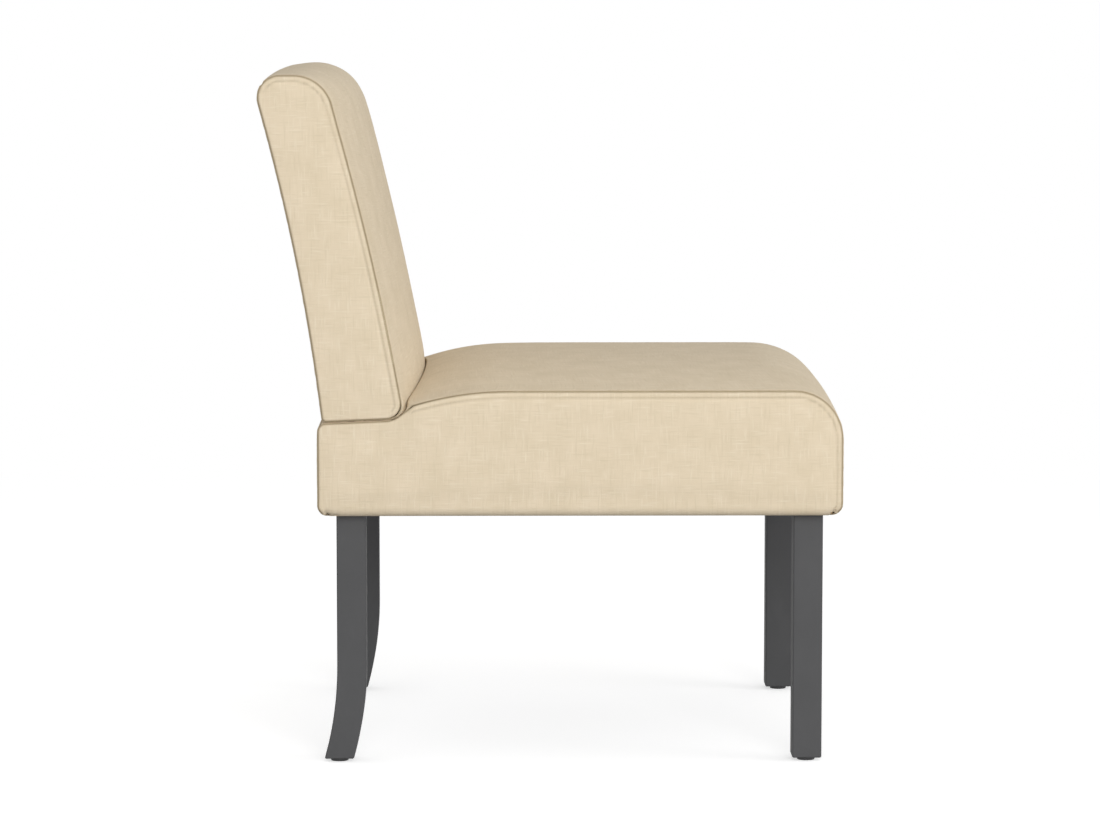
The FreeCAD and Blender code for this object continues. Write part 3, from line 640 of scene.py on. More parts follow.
# Pine, planed: pale, with long rings.
FRAME_PINE = MottledSolid("planed_pine", "#dcc195", "#b98f5c", (90, 6, 6), 0.65, 0.1)
# Grey board, pressed from waste paper: matt and flecked.
LINER_BOARD = MottledSolid("pressed_grey_board", "#a39b8c", "#7f776a", (1.5,) * 3, 0.9, 0.1)
# Polyurethane foam, cut: open cells of about a millimetre.
SEAT_FOAM = MottledSolid("cut_polyurethane_foam", "#efe6c8", "#ddd0a6", (1.1,) * 3, 0.95, 0.4)


@dataclass(frozen=True)
class WovenStrap:
    """Elastic webbing of polypropylene and rubber, woven with coarse ribs across its length."""

    name: str = "elastic_woven_webbing"
    colour: str = "#2f3133"
    rib: str = "#54585b"
    rib_pitch: float = 2.4

    def material(self) -> bpy.types.Material:
        """Returns the webbing's material, with crossed ribs on the object's own coordinates.

        Returns:
            The material.
        """
        material, tree = new_material(self.name)
        place = scaled(tree, add(tree, "TexCoord").outputs["Object"], (self.rib_pitch,) * 3)
        bands = [add(tree, "TexWave", {"Vector": place, "Scale": 0.31, "Distortion": 0.4},
                     bands_direction=axis).outputs[1] for axis in ("X", "Y")]
        crossed = add(tree, "Math", {0: bands[0], 1: bands[1]}, operation="MULTIPLY").outputs[0]
        toned = add(tree, "Mix", {0: crossed, 6: tint(self.colour), 7: tint(self.rib)}, data_type="RGBA")
        bump = add(tree, "Bump", {"Height": crossed, "Strength": 0.6, "Distance": 0.0004})
        shader = add(tree, "BsdfPrincipled", {
            "Base Color": toned.outputs[2], "Roughness": 0.8, "Normal": bump.outputs["Normal"]})
        add(tree, "OutputMaterial", {"Surface": shader.outputs[0]})
        return material


@dataclass(frozen=True)
class SpunCover:
    """Spun-bonded polypropylene, black: matted fibres pressed flat in a grid of small dots."""

    name: str = "spun_bonded_polypropylene"
    colour: str = "#26272a"
    fibre: str = "#3c3e42"
    dot_pitch: float = 2.2
    fibre_length: float = 9.0

    def material(self) -> bpy.types.Material:
        """Returns the cover's material: fibres as stretched noise both ways and dots as cells.

        Returns:
            The material.
        """
        material, tree = new_material(self.name)
        place = add(tree, "TexCoord").outputs["Object"]
        strands = [add(tree, "TexNoise", {"Vector": scaled(tree, place, size), "Scale": 1.0, "Detail": 5.0,
                                          "Distortion": 1.4}).outputs[0]
                   for size in ((self.fibre_length, 0.7, 5), (0.7, self.fibre_length, 5))]
        fibres = add(tree, "Math", {0: strands[0], 1: strands[1]}, operation="MULTIPLY").outputs[0]
        dots = add(tree, "TexVoronoi", {"Vector": scaled(tree, place, (self.dot_pitch,) * 3), "Scale": 1.0,
                                        "Randomness": 0.0}).outputs["Distance"]
        pressed = add(tree, "MapRange", {"Value": dots, "From Min": 0.2, "From Max": 0.35}).outputs[0]
        share = add(tree, "MapRange", {"Value": fibres, "From Min": 0.15, "From Max": 0.4}).outputs[0]
        toned = add(tree, "Mix", {0: share, 6: tint(self.colour), 7: tint(self.fibre)}, data_type="RGBA")
        height = add(tree, "Math", {0: fibres, 1: 0.5, 2: pressed}, operation="MULTIPLY_ADD").outputs[0]
        bump = add(tree, "Bump", {"Height": height, "Strength": 0.5, "Distance": 0.0002})
        shader = add(tree, "BsdfPrincipled", {
            "Base Color": toned.outputs[2], "Roughness": 0.75, "Normal": bump.outputs["Normal"]})
        add(tree, "OutputMaterial", {"Surface": shader.outputs[0]})
        return material


# ---------------------------------------------------------------------------------------------
# The two cushions' outlines
# ---------------------------------------------------------------------------------------------


@dataclass(frozen=True)
class SeatForm:
    """The seat's outline in XZ. Its corners move with the crown's share, 0 at the side seams."""

    rear: float = -258.0
    front: float = 321.3
    front_crown: float = 2.4
    bottom: float = 277.8
    seam_height: float = 417.4
    crown: float = 20.2
    ledge: float = 381.6
    foot_rise: float = 4.0
    foot: tuple[float, float] = (-160.6, 24.0)
    foot_spread: tuple[float, float] = (-14.4, -0.4)
    meet_spread: tuple[float, float] = (11.4, 1.5)
    foot_ease: float = 15.0
    spread_reach: float = 0.08
    lean: float = -0.18622
    slope_foot: tuple[float, float] = (400.5, 19.9)
    slope_start: float = -101.0
    slope_share: float = 0.96
    front_radius: tuple[float, float] = (54.0, 33.0)
    bottom_radii: tuple[float, float] = (12.0, 14.0)
    foot_radius: float = 9.5
    ledge_radius: float = 10.0
    side_roll: float = 11.0

    def corners(self, share: Array) -> Array:
        """Returns the outline's corners, anticlockwise from the bottom's rear.

        The slope down to the back is one arc: its radius is the slope's length times a share over
        the tangent of half its angle.

        Args:
            share: The crown's share of each outline, from 0 to 1.

        Returns:
            The corners as (outlines, 7, 3), with x, z and radius.
        """
        front = self.front + self.front_crown * share
        top = self.seam_height + self.crown * share
        foot_x = self.foot[0] + self.foot[1] * share
        foot_z = self.ledge + self.foot_rise
        meet_z = self.slope_foot[0] + self.slope_foot[1] * share
        meet_x = foot_x + self.lean * (meet_z - foot_z)
        side = np.exp(-share / self.spread_reach)
        meet_x, meet_z = meet_x + self.meet_spread[0] * side, meet_z + self.meet_spread[1] * side
        foot_x, foot_z = foot_x + self.foot_spread[0] * side, foot_z + self.foot_spread[1] * side
        run, fall = self.slope_start - meet_x, top - meet_z
        slope_radius = self.slope_share * np.hypot(run, fall) / np.tan(np.arctan2(fall, run) / 2)
        same = np.ones_like(share)
        rows = [
            (self.rear * same, self.bottom * same, self.bottom_radii[0] * same),
            (front, self.bottom * same, self.bottom_radii[1] * same),
            (front, top, self.front_radius[0] + self.front_radius[1] * share),
            (self.slope_start * same, top, slope_radius),
            (meet_x, meet_z, 0 * same),
            (foot_x, foot_z, self.foot_radius + self.foot_ease * side),
            (self.rear * same, self.ledge * same, self.ledge_radius * same),
        ]
        return np.stack([np.stack(row, -1) for row in rows], axis=1)

    def half_width(self, half: float, height: Array) -> Array:
        """Returns half the seat's width at given heights: its lower edges roll under on a circle."""
        rise = np.clip(height - self.bottom, 0, self.side_roll)
        return half - self.side_roll + np.sqrt(self.side_roll ** 2 - (self.side_roll - rise) ** 2)


@dataclass(frozen=True)
class BackForm:
    """The back's outline in XZ. Its corners move with the crown's share, 0 at the side seams."""

    foot_rear: tuple[float, float, float] = (-252.5, 382.1, 6.0)
    foot_front: tuple[float, float, float] = (-161.1, 386.1, 9.0)
    bend_front: tuple[float, float, float] = (-193.8, 561.7, 3000.0)
    top_front: tuple[float, float, float] = (-247.7, 763.2, 44.0)
    top_rear: tuple[float, float, float] = (-329.0, 763.2, 25.0)
    bend_rear: tuple[float, float, float] = (-275.0, 561.7, 2300.0)
    front_crown: float = 21.8
    rear_crown: float = 0.8
    top_crown: float = 9.6
    rear_top_crown: float = 2.0
    radius_crown: float = 12.0
    rear_radius_crown: float = 3.0
    foot_ease: float = 9.0
    spread_reach: float = 0.08

    def corners(self, share: Array) -> Array:
        """Returns the outline's corners, anticlockwise from the foot's rear.

        Args:
            share: The crown's share of each outline, from 0 to 1.

        Returns:
            The corners as (outlines, 6, 3), with x, z and radius.
        """
        moves = [(-self.rear_crown, 0, 0), (self.front_crown, 0, 0), (self.front_crown, 0, 0),
                 (self.front_crown, self.top_crown, self.radius_crown),
                 (-self.rear_crown, self.rear_top_crown, self.rear_radius_crown), (-self.rear_crown, 0, 0)]
        eased = np.zeros((len(share), 6, 3))
        eased[:, 1, 2] = self.foot_ease * np.exp(-share / self.spread_reach)
        still = [self.foot_rear, self.foot_front, self.bend_front, self.top_front, self.top_rear,
                 self.bend_rear]
        return np.array(still)[None] + share[:, None, None] * np.array(moves, dtype=float)[None] + eased


# ---------------------------------------------------------------------------------------------
# Cut panels of cloth
# ---------------------------------------------------------------------------------------------


@dataclass
class Panel:
    """A cut panel of cloth as a grid of points in millimetres.

    flat is each point's place on the flat cloth, seam its distance from the nearest sewn edge,
    outward the way it faces and held where it can't swell.
    """

    name: str
    points: Array
    flat: Array
    seam: Array
    outward: Array
    held: Array
    along: Array
    across: Array
    swell: float = 3.0
    normals: Array = field(init=False)

    def __post_init__(self) -> None:
        """Works out the panel's normals before it is swollen and sewn."""
        self.normals = normals_of(self.points, self.outward)

    def thinned(self) -> tuple[Array, Array]:
        """Returns the rows and columns of a coarse copy with steps of at least 11 mm."""
        return tuple(self.sparse(places, 11.0) for places in (self.along, self.across))

    @staticmethod
    def sparse(places: Array, step: float) -> Array:
        """Returns numbers of places that lie at least a step apart, the first and last among them."""
        wanted = np.linspace(places[0], places[-1], max(4, int((places[-1] - places[0]) / step)) + 1)
        return np.unique(np.abs(places[:, None] - wanted[None]).argmin(axis=0))

    def swollen(self, moved: Array, rows: Array, columns: Array) -> None:
        """Moves the panel out along its normals as far as its coarse copy moved, up to its cap.

        Args:
            moved: How far each point of the coarse copy moved along its normal.
            rows: The rows that the coarse copy has.
            columns: The columns that the coarse copy has.
        """
        capped = self.swell * np.tanh(np.maximum(moved, 0) / self.swell)
        spread = resampled(capped, self.along[rows], self.along)
        spread = resampled(spread.T, self.across[columns], self.across).T
        self.points += self.normals * (spread * (1 - self.held))[..., None]


@dataclass
class Sewing:
    """How a cover is sewn: seams drawn in, and a row of stitches beside each."""

    depth: float = 1.3
    roll: float = 3.6
    stitch_distance: float = 7.3
    stitch_depth: float = 0.7
    stitch_width: float = 1.1
    stitch_pitch: float = 4.4
    stitch_length: float = 3.3
    thread_radius: float = 0.27
    pucker: float = 0.22

    def drawn_in(self, distance: Array) -> Array:
        """Returns how far cloth lies inside its surface near a seam: a parabola up to its roll."""
        near = np.clip((self.roll - distance) / (self.roll - self.depth), 0, None)
        return -self.depth * near ** 2

    def stitched_in(self, distance: Array) -> Array:
        """Returns how far the row of stitches draws the cloth in: a bell round its line."""
        return -self.stitch_depth * np.exp(-((distance - self.stitch_distance) / self.stitch_width) ** 2)

    def puckered(self, distance: Array, along: Array, seed: int) -> Array:
        """Returns the small puckers between seam and stitches, fading over 20 mm."""
        fade = np.exp(-(distance / 12) ** 2) * np.clip((distance - self.depth) / 2.5, 0, 1)
        return self.pucker * fade * ripple(along, 13, seed)

    def creased(self, distance: Array, stitched: bool) -> Array:
        """Returns how near to a sewn line cloth lies: 1 in the seam, less in the row of stitches. It sets how
        much painted shade the cloth gets there.

        Args:
            distance: The distance from the seam in millimetres.
            stitched: Whether a row of stitches runs beside the seam.

        Returns:
            The nearness, from 0 to 1.
        """
        crease = np.exp(-((distance - self.depth) / 1.15) ** 2)
        if stitched:
            crease += 0.4 * np.exp(-((distance - self.stitch_distance) / 0.9) ** 2)
        return np.clip(crease, 0, 1)


def crossing_panel(name: str, paths: Array, columns: Array, half: float, half_widths: Array,
                   outward: Array, held: Array, swell: float) -> Panel:
    """Lays a panel across the chair, from one side seam to the other.

    Each column is its own outline with its share of the crown, and a row's points are spread over
    the width at its height.

    Args:
        name: The piece's name.
        paths: The outlines as (columns, rows, 2).
        columns: Each column's Y where the chair has its full width.
        half: Half the full width.
        half_widths: Half the width at each row.
        outward: The way that the panel's middle faces.
        held: Where the rows can't swell, from 0 to 1.
        swell: The farthest that the panel swells.

    Returns:
        The panel.
    """
    rows = paths.shape[1]
    y = columns[None, :] * (half_widths / half)[:, None]
    points = np.stack([paths[..., 0].T, y, paths[..., 1].T], axis=-1)
    along = lengths_along(paths[0])
    flat = np.stack([y, np.broadcast_to(along[:, None], y.shape)], axis=-1)
    seam = np.broadcast_to(half - np.abs(columns), (rows, len(columns)))
    return Panel(name, points, flat, seam, outward, np.broadcast_to(held[:, None], y.shape).copy(),
                 along, columns, swell)


class Upholstery:
    """What the seat's and the back's covers share: panels that swell, are sewn and become pieces."""

    half: float = 270.0
    step: float = 4.0
    crown_power: float = 2.5
    thickness: float = 1.2

    def __init__(self, sewing: Sewing) -> None:
        """Keeps the sewing and starts with no panels."""
        self.sewing = sewing
        self.columns = gathered(2 * self.half, self.step, sewing.depth) - self.half
        self.shares = 1 - (np.abs(self.columns) / self.half) ** self.crown_power
        self.panels: list[Panel] = []
        self.pieces: list[bpy.types.Object] = []

    def sew_crossing(self, panel: Panel, seed: int, ends: tuple[bool, bool]) -> None:
        """Draws a crossing panel in along its side seams and, where it has them, its end seams.

        Args:
            panel: The panel.
            seed: The seed of its puckers.
            ends: Whether its first and its last row are sewn.
        """
        sewing = self.sewing
        inward = sewing.drawn_in(panel.seam) + sewing.puckered(panel.seam, panel.along[:, None], seed)
        crease = sewing.creased(panel.seam, False)
        for sewn, distance in zip(ends, (panel.along, panel.along[-1] - panel.along)):
            if sewn:
                inward += sewing.drawn_in(distance + sewing.depth)[:, None]
                crease = np.maximum(crease, sewing.creased(distance + sewing.depth, False)[:, None])
        panel.points += panel.normals * inward[..., None]
        self.make(panel, crease)

    def make(self, panel: Panel, crease: Array) -> bpy.types.Object:
        """Makes a panel into a piece with its cloth's thickness.

        Args:
            panel: The panel.
            crease: How near to a sewn line each point lies, which sets its painted shade.

        Returns:
            The piece.
        """
        rows, columns = panel.points.shape[:2]
        faces = quads_of(rows, columns)
        middle = panel.points[rows // 2:rows // 2 + 2, columns // 2:columns // 2 + 2]
        order = np.cross(middle[0, 1] - middle[0, 0], middle[1, 0] - middle[0, 0])
        if order @ panel.outward < 0:
            faces = faces[:, ::-1]
        piece = make_object(panel.name, panel.points, faces, panel.flat, crease)
        thicken(piece, self.thickness)
        self.pieces.append(piece)
        return piece


def stitches(name: str, line: Array, normals: Array, sewing: Sewing) -> bpy.types.Object:
    """Makes a row of stitches, each a bowed lens of thread that dips into the cloth at both ends.

    A point of a stitch is its middle, plus the way along the row, plus the circle of the thread,
    whose radius falls to nothing at the ends as the root of one less the fourth power.

    Args:
        name: The piece's name.
        line: The row's line on the cloth, as (count, 3).
        normals: The cloth's outward normals there.
        sewing: The stitches' sizes.

    Returns:
        The piece.
    """
    along = lengths_along(line)
    count = int(along[-1] / sewing.stitch_pitch)
    middles = (np.arange(count) + 0.5) * along[-1] / count
    place = points_at(line, middles)
    way = unit(points_at(line, middles + 0.5) - points_at(line, middles - 0.5))
    normal = unit(np.stack([np.interp(middles, along, normals[:, axis]) for axis in range(3)], -1))
    across = unit(np.cross(way, normal))
    share = np.linspace(-1, 1, 6)
    angle = np.arange(6) * np.pi / 3
    radius = sewing.thread_radius * np.sqrt(np.maximum(1 - share ** 4, 0))
    bow = sewing.thread_radius * (0.8 - 1.6 * share ** 2)
    lift = bow[:, None] + radius[:, None] * np.sin(angle)
    aside = radius[:, None] * np.cos(angle)
    reach = (share * sewing.stitch_length / 2)[:, None]
    points = (place[:, None, None] + way[:, None, None] * reach[None, ..., None]
              + normal[:, None, None] * lift[None, ..., None] + across[:, None, None] * aside[None, ..., None])
    one = quads_of(6, 6, around=True)
    faces = (one[None] + 36 * np.arange(count)[:, None, None]).reshape(-1, 4)
    piece = make_object(name, points, faces)
    weld(piece)
    return piece


@dataclass
class SeatCover(Upholstery):
    """The seat's cover: a long top panel, two side panels, a rear panel and the folded hem."""

    form: SeatForm
    sewing: Sewing
    swell_top: float = 2.6
    swell_side: float = 2.2
    roll_rise: float = 5.0

    def __post_init__(self) -> None:
        """Prepares the columns and their crown."""
        Upholstery.__init__(self, self.sewing)

    def cut(self) -> list[Panel]:
        """Cuts the four panels.

        Returns:
            The panels.
        """
        corners = self.form.corners(self.shares)
        start = corners[:, 0].copy()
        start[:, 1] = 340
        end = corners[:, 1].copy()
        end[:, 0] -= self.form.bottom_radii[1] + 1
        order = [6, 5, 4, 3, 2, 1]
        chain = np.stack([start, *[corners[:, number] for number in order], end], axis=1)
        paths, middles = rounded(chain, self.step)
        paths = paths[:, middles[0]:]
        held = np.clip((-120 - paths[0, :, 0]) / 30, 0, 1)
        held = np.maximum(held, np.clip((320 - paths[0, :, 1]) / 30, 0, 1))
        top = crossing_panel("seat_cover_top", paths, self.columns, self.half, self.widths(paths[0]),
                             np.array([0, 0, 1.0]), held, self.swell_top)
        place = top.along - top.along[middles[4] - middles[0]] - 4
        fuller = self.roll_rise * np.exp(-(place / 27) ** 2)[:, None] * self.shares[None]
        top.points += top.normals * fuller[..., None]
        start = corners[:, 0].copy()
        start[:, 0] += self.form.bottom_radii[0] + 1
        end = corners[:, 6].copy()
        end[:, 0] = -220
        paths, middles = rounded(np.stack([start, corners[:, 0], corners[:, 6], end], axis=1), self.step)
        paths = paths[:, :middles[1] + 1]
        held = np.clip((310 - paths[0, :, 1]) / 25, 0, 1)
        rear = crossing_panel("seat_cover_rear", paths, self.columns, self.half, self.widths(paths[0]),
                              np.array([-1.0, 0, 0]), held, 1.2)
        self.panels = [top, rear, *[self.cut_side(side) for side in Side]]
        return self.panels

    def widths(self, path: Array) -> Array:
        """Returns half the width at each point of a path."""
        return self.form.half_width(self.half, path[:, 1])

    def edge(self, distance: float) -> tuple[Array, list[int]]:
        """Returns the side's closed outline, its seams moved in by a distance, and its middles.

        Args:
            distance: How far the seams move in, in millimetres.

        Returns:
            The outline, and the index of each corner's middle.
        """
        corners = self.form.corners(np.zeros(1))
        moves = np.array([0.0] + [distance] * 6)
        corners = inset(corners, moves)
        chain = np.concatenate([corners[:, -1:], corners, corners[:, :1]], axis=1)
        chain[:, 0] = (corners[:, 6] + corners[:, 0]) / 2
        chain[:, -1] = chain[:, 0]
        paths, middles = rounded(chain, 1.0)
        return paths[0], middles

    def cut_side(self, side: Side) -> Panel:
        """Cuts a side panel, flat between its four edges, with its lower edge rolled under.

        Args:
            side: Which side it covers.

        Returns:
            The panel.
        """
        outline, middles = self.edge(self.sewing.depth)
        rear_low, front_low, front_high = middles[0], middles[1], middles[2]
        rear_high = middles[6]
        bottom = outline[rear_low:front_low + 1]
        right = outline[front_low:front_high + 1]
        top = outline[front_high:rear_high + 1][::-1]
        left = np.concatenate([outline[rear_high:], outline[:rear_low + 1]])[::-1]
        top_places = gathered(lengths_along(top)[-1], self.step, 0)
        top_points = points_at(top, top_places)
        rise = gathered(lengths_along(right)[-1], 3.0, 0)
        share = rise / rise[-1]
        right_points = points_at(right, rise)
        left_points = points_at(left, share * lengths_along(left)[-1])
        lead = self.lead_of(top_points, bottom)
        grid = patch(lead, top_points, left_points, right_points)
        whole, marks = self.edge(0)
        rear = np.concatenate([whole[marks[6]:], whole[:marks[0] + 1]])
        seam = np.minimum(distance_to(grid, whole[marks[1]:marks[6] + 1]), distance_to(grid, rear))
        y = side.value * self.form.half_width(self.half, grid[..., 1])
        points = np.stack([grid[..., 0], y, grid[..., 1]], axis=-1)
        held = np.clip((self.form.bottom + 26 - grid[..., 1]) / 20, 0, 1)
        behind = np.clip((-150 - grid[..., 0]) / 30, 0, 1)
        held = np.maximum(held, behind * np.clip((grid[..., 1] - 350) / 20, 0, 1))
        panel = Panel(f"seat_cover_side_{side.word}", points, grid.copy(), seam,
                      np.array([0, float(side.value), 0]), held, rise, top_places, self.swell_side)
        return panel

    def lead_of(self, top: Array, bottom: Array) -> Array:
        """Returns the bottom edge's points that stand straight under the top edge's.

        Args:
            top: The top edge's points, from the rear.
            bottom: The bottom edge's outline, from the rear.

        Returns:
            The points, as many as the top's.
        """
        share = (top[:, 0] - top[0, 0]) / (top[-1, 0] - top[0, 0])
        wanted = bottom[0, 0] + share * (bottom[-1, 0] - bottom[0, 0])
        return points_at(bottom, np.interp(wanted, bottom[:, 0], lengths_along(bottom)))

    def sew(self) -> None:
        """Sews the panels, adds the stitches and makes the pieces."""
        top, rear, *sides = self.panels
        self.sew_crossing(top, 3, (True, False))
        self.sew_crossing(rear, 5, (False, True))
        for number, panel in enumerate(sides):
            side = Side.LEFT if panel.outward[1] > 0 else Side.RIGHT
            self.sew_side(panel, side, 11 + number)
        self.hem()

    def sew_side(self, panel: Panel, side: Side, seed: int) -> None:
        """Draws a side panel in at its seams and under its row of stitches.

        Args:
            panel: The panel.
            side: Which side it covers.
            seed: The seed of its puckers.
        """
        sewing = self.sewing
        whole, marks = self.edge(0)
        front = distance_to(panel.flat, whole[marks[1]:marks[4] + 1])
        along = panel.flat[..., 0] + panel.flat[..., 1]
        inward = sewing.drawn_in(panel.seam) + sewing.stitched_in(front)
        inward += sewing.puckered(front, along, seed)
        crease = np.maximum(sewing.creased(panel.seam, False), sewing.creased(front, True))
        panel.points += panel.normals * inward[..., None]
        self.tuck(panel)
        self.make(panel, crease)
        stitch_line, places = self.edge(sewing.stitch_distance)
        line = stitch_line[places[1] + 4:places[4] - 6]
        flat = panel.flat.reshape(-1, 2)
        nearest = np.linalg.norm(flat[None] - line[:, None], axis=-1).argmin(axis=1)
        surface = panel.points.reshape(-1, 3)[nearest, 1]
        line = np.stack([line[:, 0], surface, line[:, 1]], axis=-1)
        normals = np.broadcast_to([0, float(side.value), 0], line.shape)
        self.pieces.append(stitches(f"seat_stitches_{side.word}", line, normals, sewing))

    def tuck(self, panel: Panel) -> None:
        """Presses the small folds at the lower corners, where the cloth is gathered under.

        Each is a narrow bell across its fold line, fading over its height.
        """
        x, z = panel.flat[..., 0], panel.flat[..., 1]
        for foot, lean, height, depth in ((-246.5, -0.25, 9, 2.2), (309.5, 0.55, 12, 2.4), (-238, 0.3, 7, 0.9)):
            rise = z - self.form.bottom
            across = x - foot - lean * rise
            press = depth * np.exp(-(across / 2.4) ** 2) * np.exp(-(rise / height) ** 2)
            panel.points += panel.normals * -press[..., None]
            panel.points[..., 2] += 0.6 * press

    def hem(self) -> None:
        """Makes the cover's hem, folded flat under the frame, with mitred corners.

        It is a ring: a rectangle whose corners are drawn in evenly from its outer to its inner
        edge, slightly wavy.
        """
        form = self.form
        low = np.array([form.rear + form.bottom_radii[0] + 1, -(self.half - form.side_roll)])
        high = np.array([form.front - form.bottom_radii[1] - 1, self.half - form.side_roll])
        turn = np.concatenate([np.linspace(side, side + 1, 130, endpoint=False) for side in range(4)])
        x = np.interp(turn, [0, 1, 2, 3, 4], [low[0], high[0], high[0], low[0], low[0]])
        y = np.interp(turn, [0, 1, 2, 3, 4], [low[1], low[1], high[1], high[1], low[1]])
        middle = (low + high) / 2
        reach = np.array([0, 0.6, 2, 5, 9, 13, 17, 20.0])[:, None]
        half_x, half_y = (high - low) / 2
        grid_x = middle[0] + (x - middle[0])[None] * (1 - reach / half_x)
        grid_y = middle[1] + (y - middle[1])[None] * (1 - reach / half_y)
        wave = 0.18 * ripple(turn * 300, 28, 23)[None] * np.clip(reach / 6, 0, 1)
        corner = np.abs(np.abs(turn % 1 - 0.5) - 0.5)
        fold = 0.5 * np.exp(-(corner / 0.012) ** 2)[None] * np.clip(reach / 3, 0, 1)
        z = form.bottom + 0.35 * np.clip(reach / 5, 0, 1) + wave * 0.5 + fold
        points = np.stack([grid_x, grid_y, np.broadcast_to(z, grid_x.shape)], axis=-1)
        faces = quads_of(*points.shape[:2], around=True)
        piece = make_object("seat_cover_hem", points, faces, points[..., :2],
                            np.zeros(points.shape[:2]))
        bottom_up = np.cross(points[1, 0] - points[0, 0], points[0, 1] - points[0, 0])
        if bottom_up[2] < 0:
            piece.data.flip_normals()
        thicken(piece, self.thickness)
        self.pieces.append(piece)


@dataclass
class BackCover(Upholstery):
    """The back's cover: a front panel over the top, two side panels and a rear panel."""

    form: BackForm
    sewing: Sewing
    swell_front: float = 3.0
    swell_side: float = 1.6

    def __post_init__(self) -> None:
        """Prepares the columns and their crown."""
        Upholstery.__init__(self, self.sewing)

    def cut(self) -> list[Panel]:
        """Cuts the four panels.

        Returns:
            The panels.
        """
        corners = self.form.corners(self.shares)
        foot = (corners[:, 0] + corners[:, 1]) / 2
        chain = np.stack([foot, *[corners[:, number] for number in range(1, 6)]], axis=1)
        paths, middles = rounded(chain, self.step)
        paths = paths[:, :middles[3] + 1]
        held = np.clip((430 - paths[0, :, 1]) / 30, 0, 1)
        widths = np.full(paths.shape[1], self.half)
        front = crossing_panel("back_cover_front", paths, self.columns, self.half, widths,
                               np.array([1.0, 0, 0]), held, self.swell_front)
        chain = np.stack([corners[:, 3], corners[:, 4], corners[:, 5], corners[:, 0], foot], axis=1)
        paths, middles = rounded(chain, self.step)
        paths = paths[:, middles[0]:]
        widths = np.full(paths.shape[1], self.half)
        held = np.clip((420 - paths[0, :, 1]) / 30, 0, 1)
        rear = crossing_panel("back_cover_rear", paths, self.columns, self.half, widths,
                              np.array([-1.0, 0, 0]), held, 0.6)
        self.panels = [front, rear, *[self.cut_side(side) for side in Side]]
        return self.panels

    def edge(self, distance: float) -> tuple[Array, list[int]]:
        """Returns the side's closed outline moved in by a distance, and its corners' middles.

        Args:
            distance: How far it moves in, in millimetres.

        Returns:
            The outline, and the index of each corner's middle.
        """
        corners = inset(self.form.corners(np.zeros(1)), np.full(6, distance))
        ends = 0.06 * corners[:, 5:] + 0.94 * corners[:, :1]
        paths, middles = rounded(np.concatenate([ends, corners, ends], axis=1), 1.0)
        return paths[0], middles

    def cut_side(self, side: Side) -> Panel:
        """Cuts a side panel, flat between its foot, front, top and rear edges.

        Args:
            side: Which side it covers.

        Returns:
            The panel.
        """
        outline, middles = self.edge(self.sewing.depth)
        bottom = outline[middles[0]:middles[1] + 1]
        right = outline[middles[1]:middles[3] + 1]
        top = outline[middles[3]:middles[4] + 1][::-1]
        left = np.concatenate([outline[middles[4]:], outline[:middles[0] + 1]])[::-1]
        places = gathered(lengths_along(bottom)[-1], 3.0, 0)
        share = places / places[-1]
        rise = gathered(lengths_along(right)[-1], self.step, 0)
        up = rise / rise[-1]
        grid = patch(points_at(bottom, places), points_at(top, share * lengths_along(top)[-1]),
                     points_at(left, up * lengths_along(left)[-1]), points_at(right, rise))
        seam = distance_to(grid, self.edge(0)[0])
        y = np.full(seam.shape, side.value * self.half)
        points = np.stack([grid[..., 0], y, grid[..., 1]], axis=-1)
        held = np.clip((400 - grid[..., 1]) / 15, 0, 1)
        return Panel(f"back_cover_side_{side.word}", points, grid.copy(), seam,
                     np.array([0, float(side.value), 0]), held, rise, places, self.swell_side)

    def sew(self) -> None:
        """Sews the panels, adds the stitches and makes the pieces."""
        front, rear, *sides = self.panels
        self.sew_crossing(front, 31, (False, True))
        self.sew_crossing(rear, 37, (True, False))
        for number, panel in enumerate(sides):
            side = Side.LEFT if panel.outward[1] > 0 else Side.RIGHT
            self.sew_side(panel, side, 41 + number)

    def sew_side(self, panel: Panel, side: Side, seed: int) -> None:
        """Draws a side panel in at its seams and under its row of stitches.

        Args:
            panel: The panel.
            side: Which side it covers.
            seed: The seed of its puckers.
        """
        sewing = self.sewing
        whole, marks = self.edge(0)
        front = distance_to(panel.flat, whole[marks[1]:marks[4] + 1])
        along = panel.flat[..., 0] + panel.flat[..., 1]
        inward = sewing.drawn_in(panel.seam) + sewing.stitched_in(front)
        inward += sewing.puckered(front, along, seed)
        crease = np.maximum(sewing.creased(panel.seam, False), sewing.creased(front, True))
        panel.points += panel.normals * inward[..., None]
        self.make(panel, crease)
        stitch_line, places = self.edge(sewing.stitch_distance)
        line = stitch_line[places[1] + 2:places[4] - 2]
        flat = panel.flat.reshape(-1, 2)
        nearest = np.linalg.norm(flat[None] - line[:, None], axis=-1).argmin(axis=1)
        surface = panel.points.reshape(-1, 3)[nearest, 1]
        line = np.stack([line[:, 0], surface, line[:, 1]], axis=-1)
        normals = np.broadcast_to([0, float(side.value), 0], line.shape)
        self.pieces.append(stitches(f"back_stitches_{side.word}", line, normals, sewing))


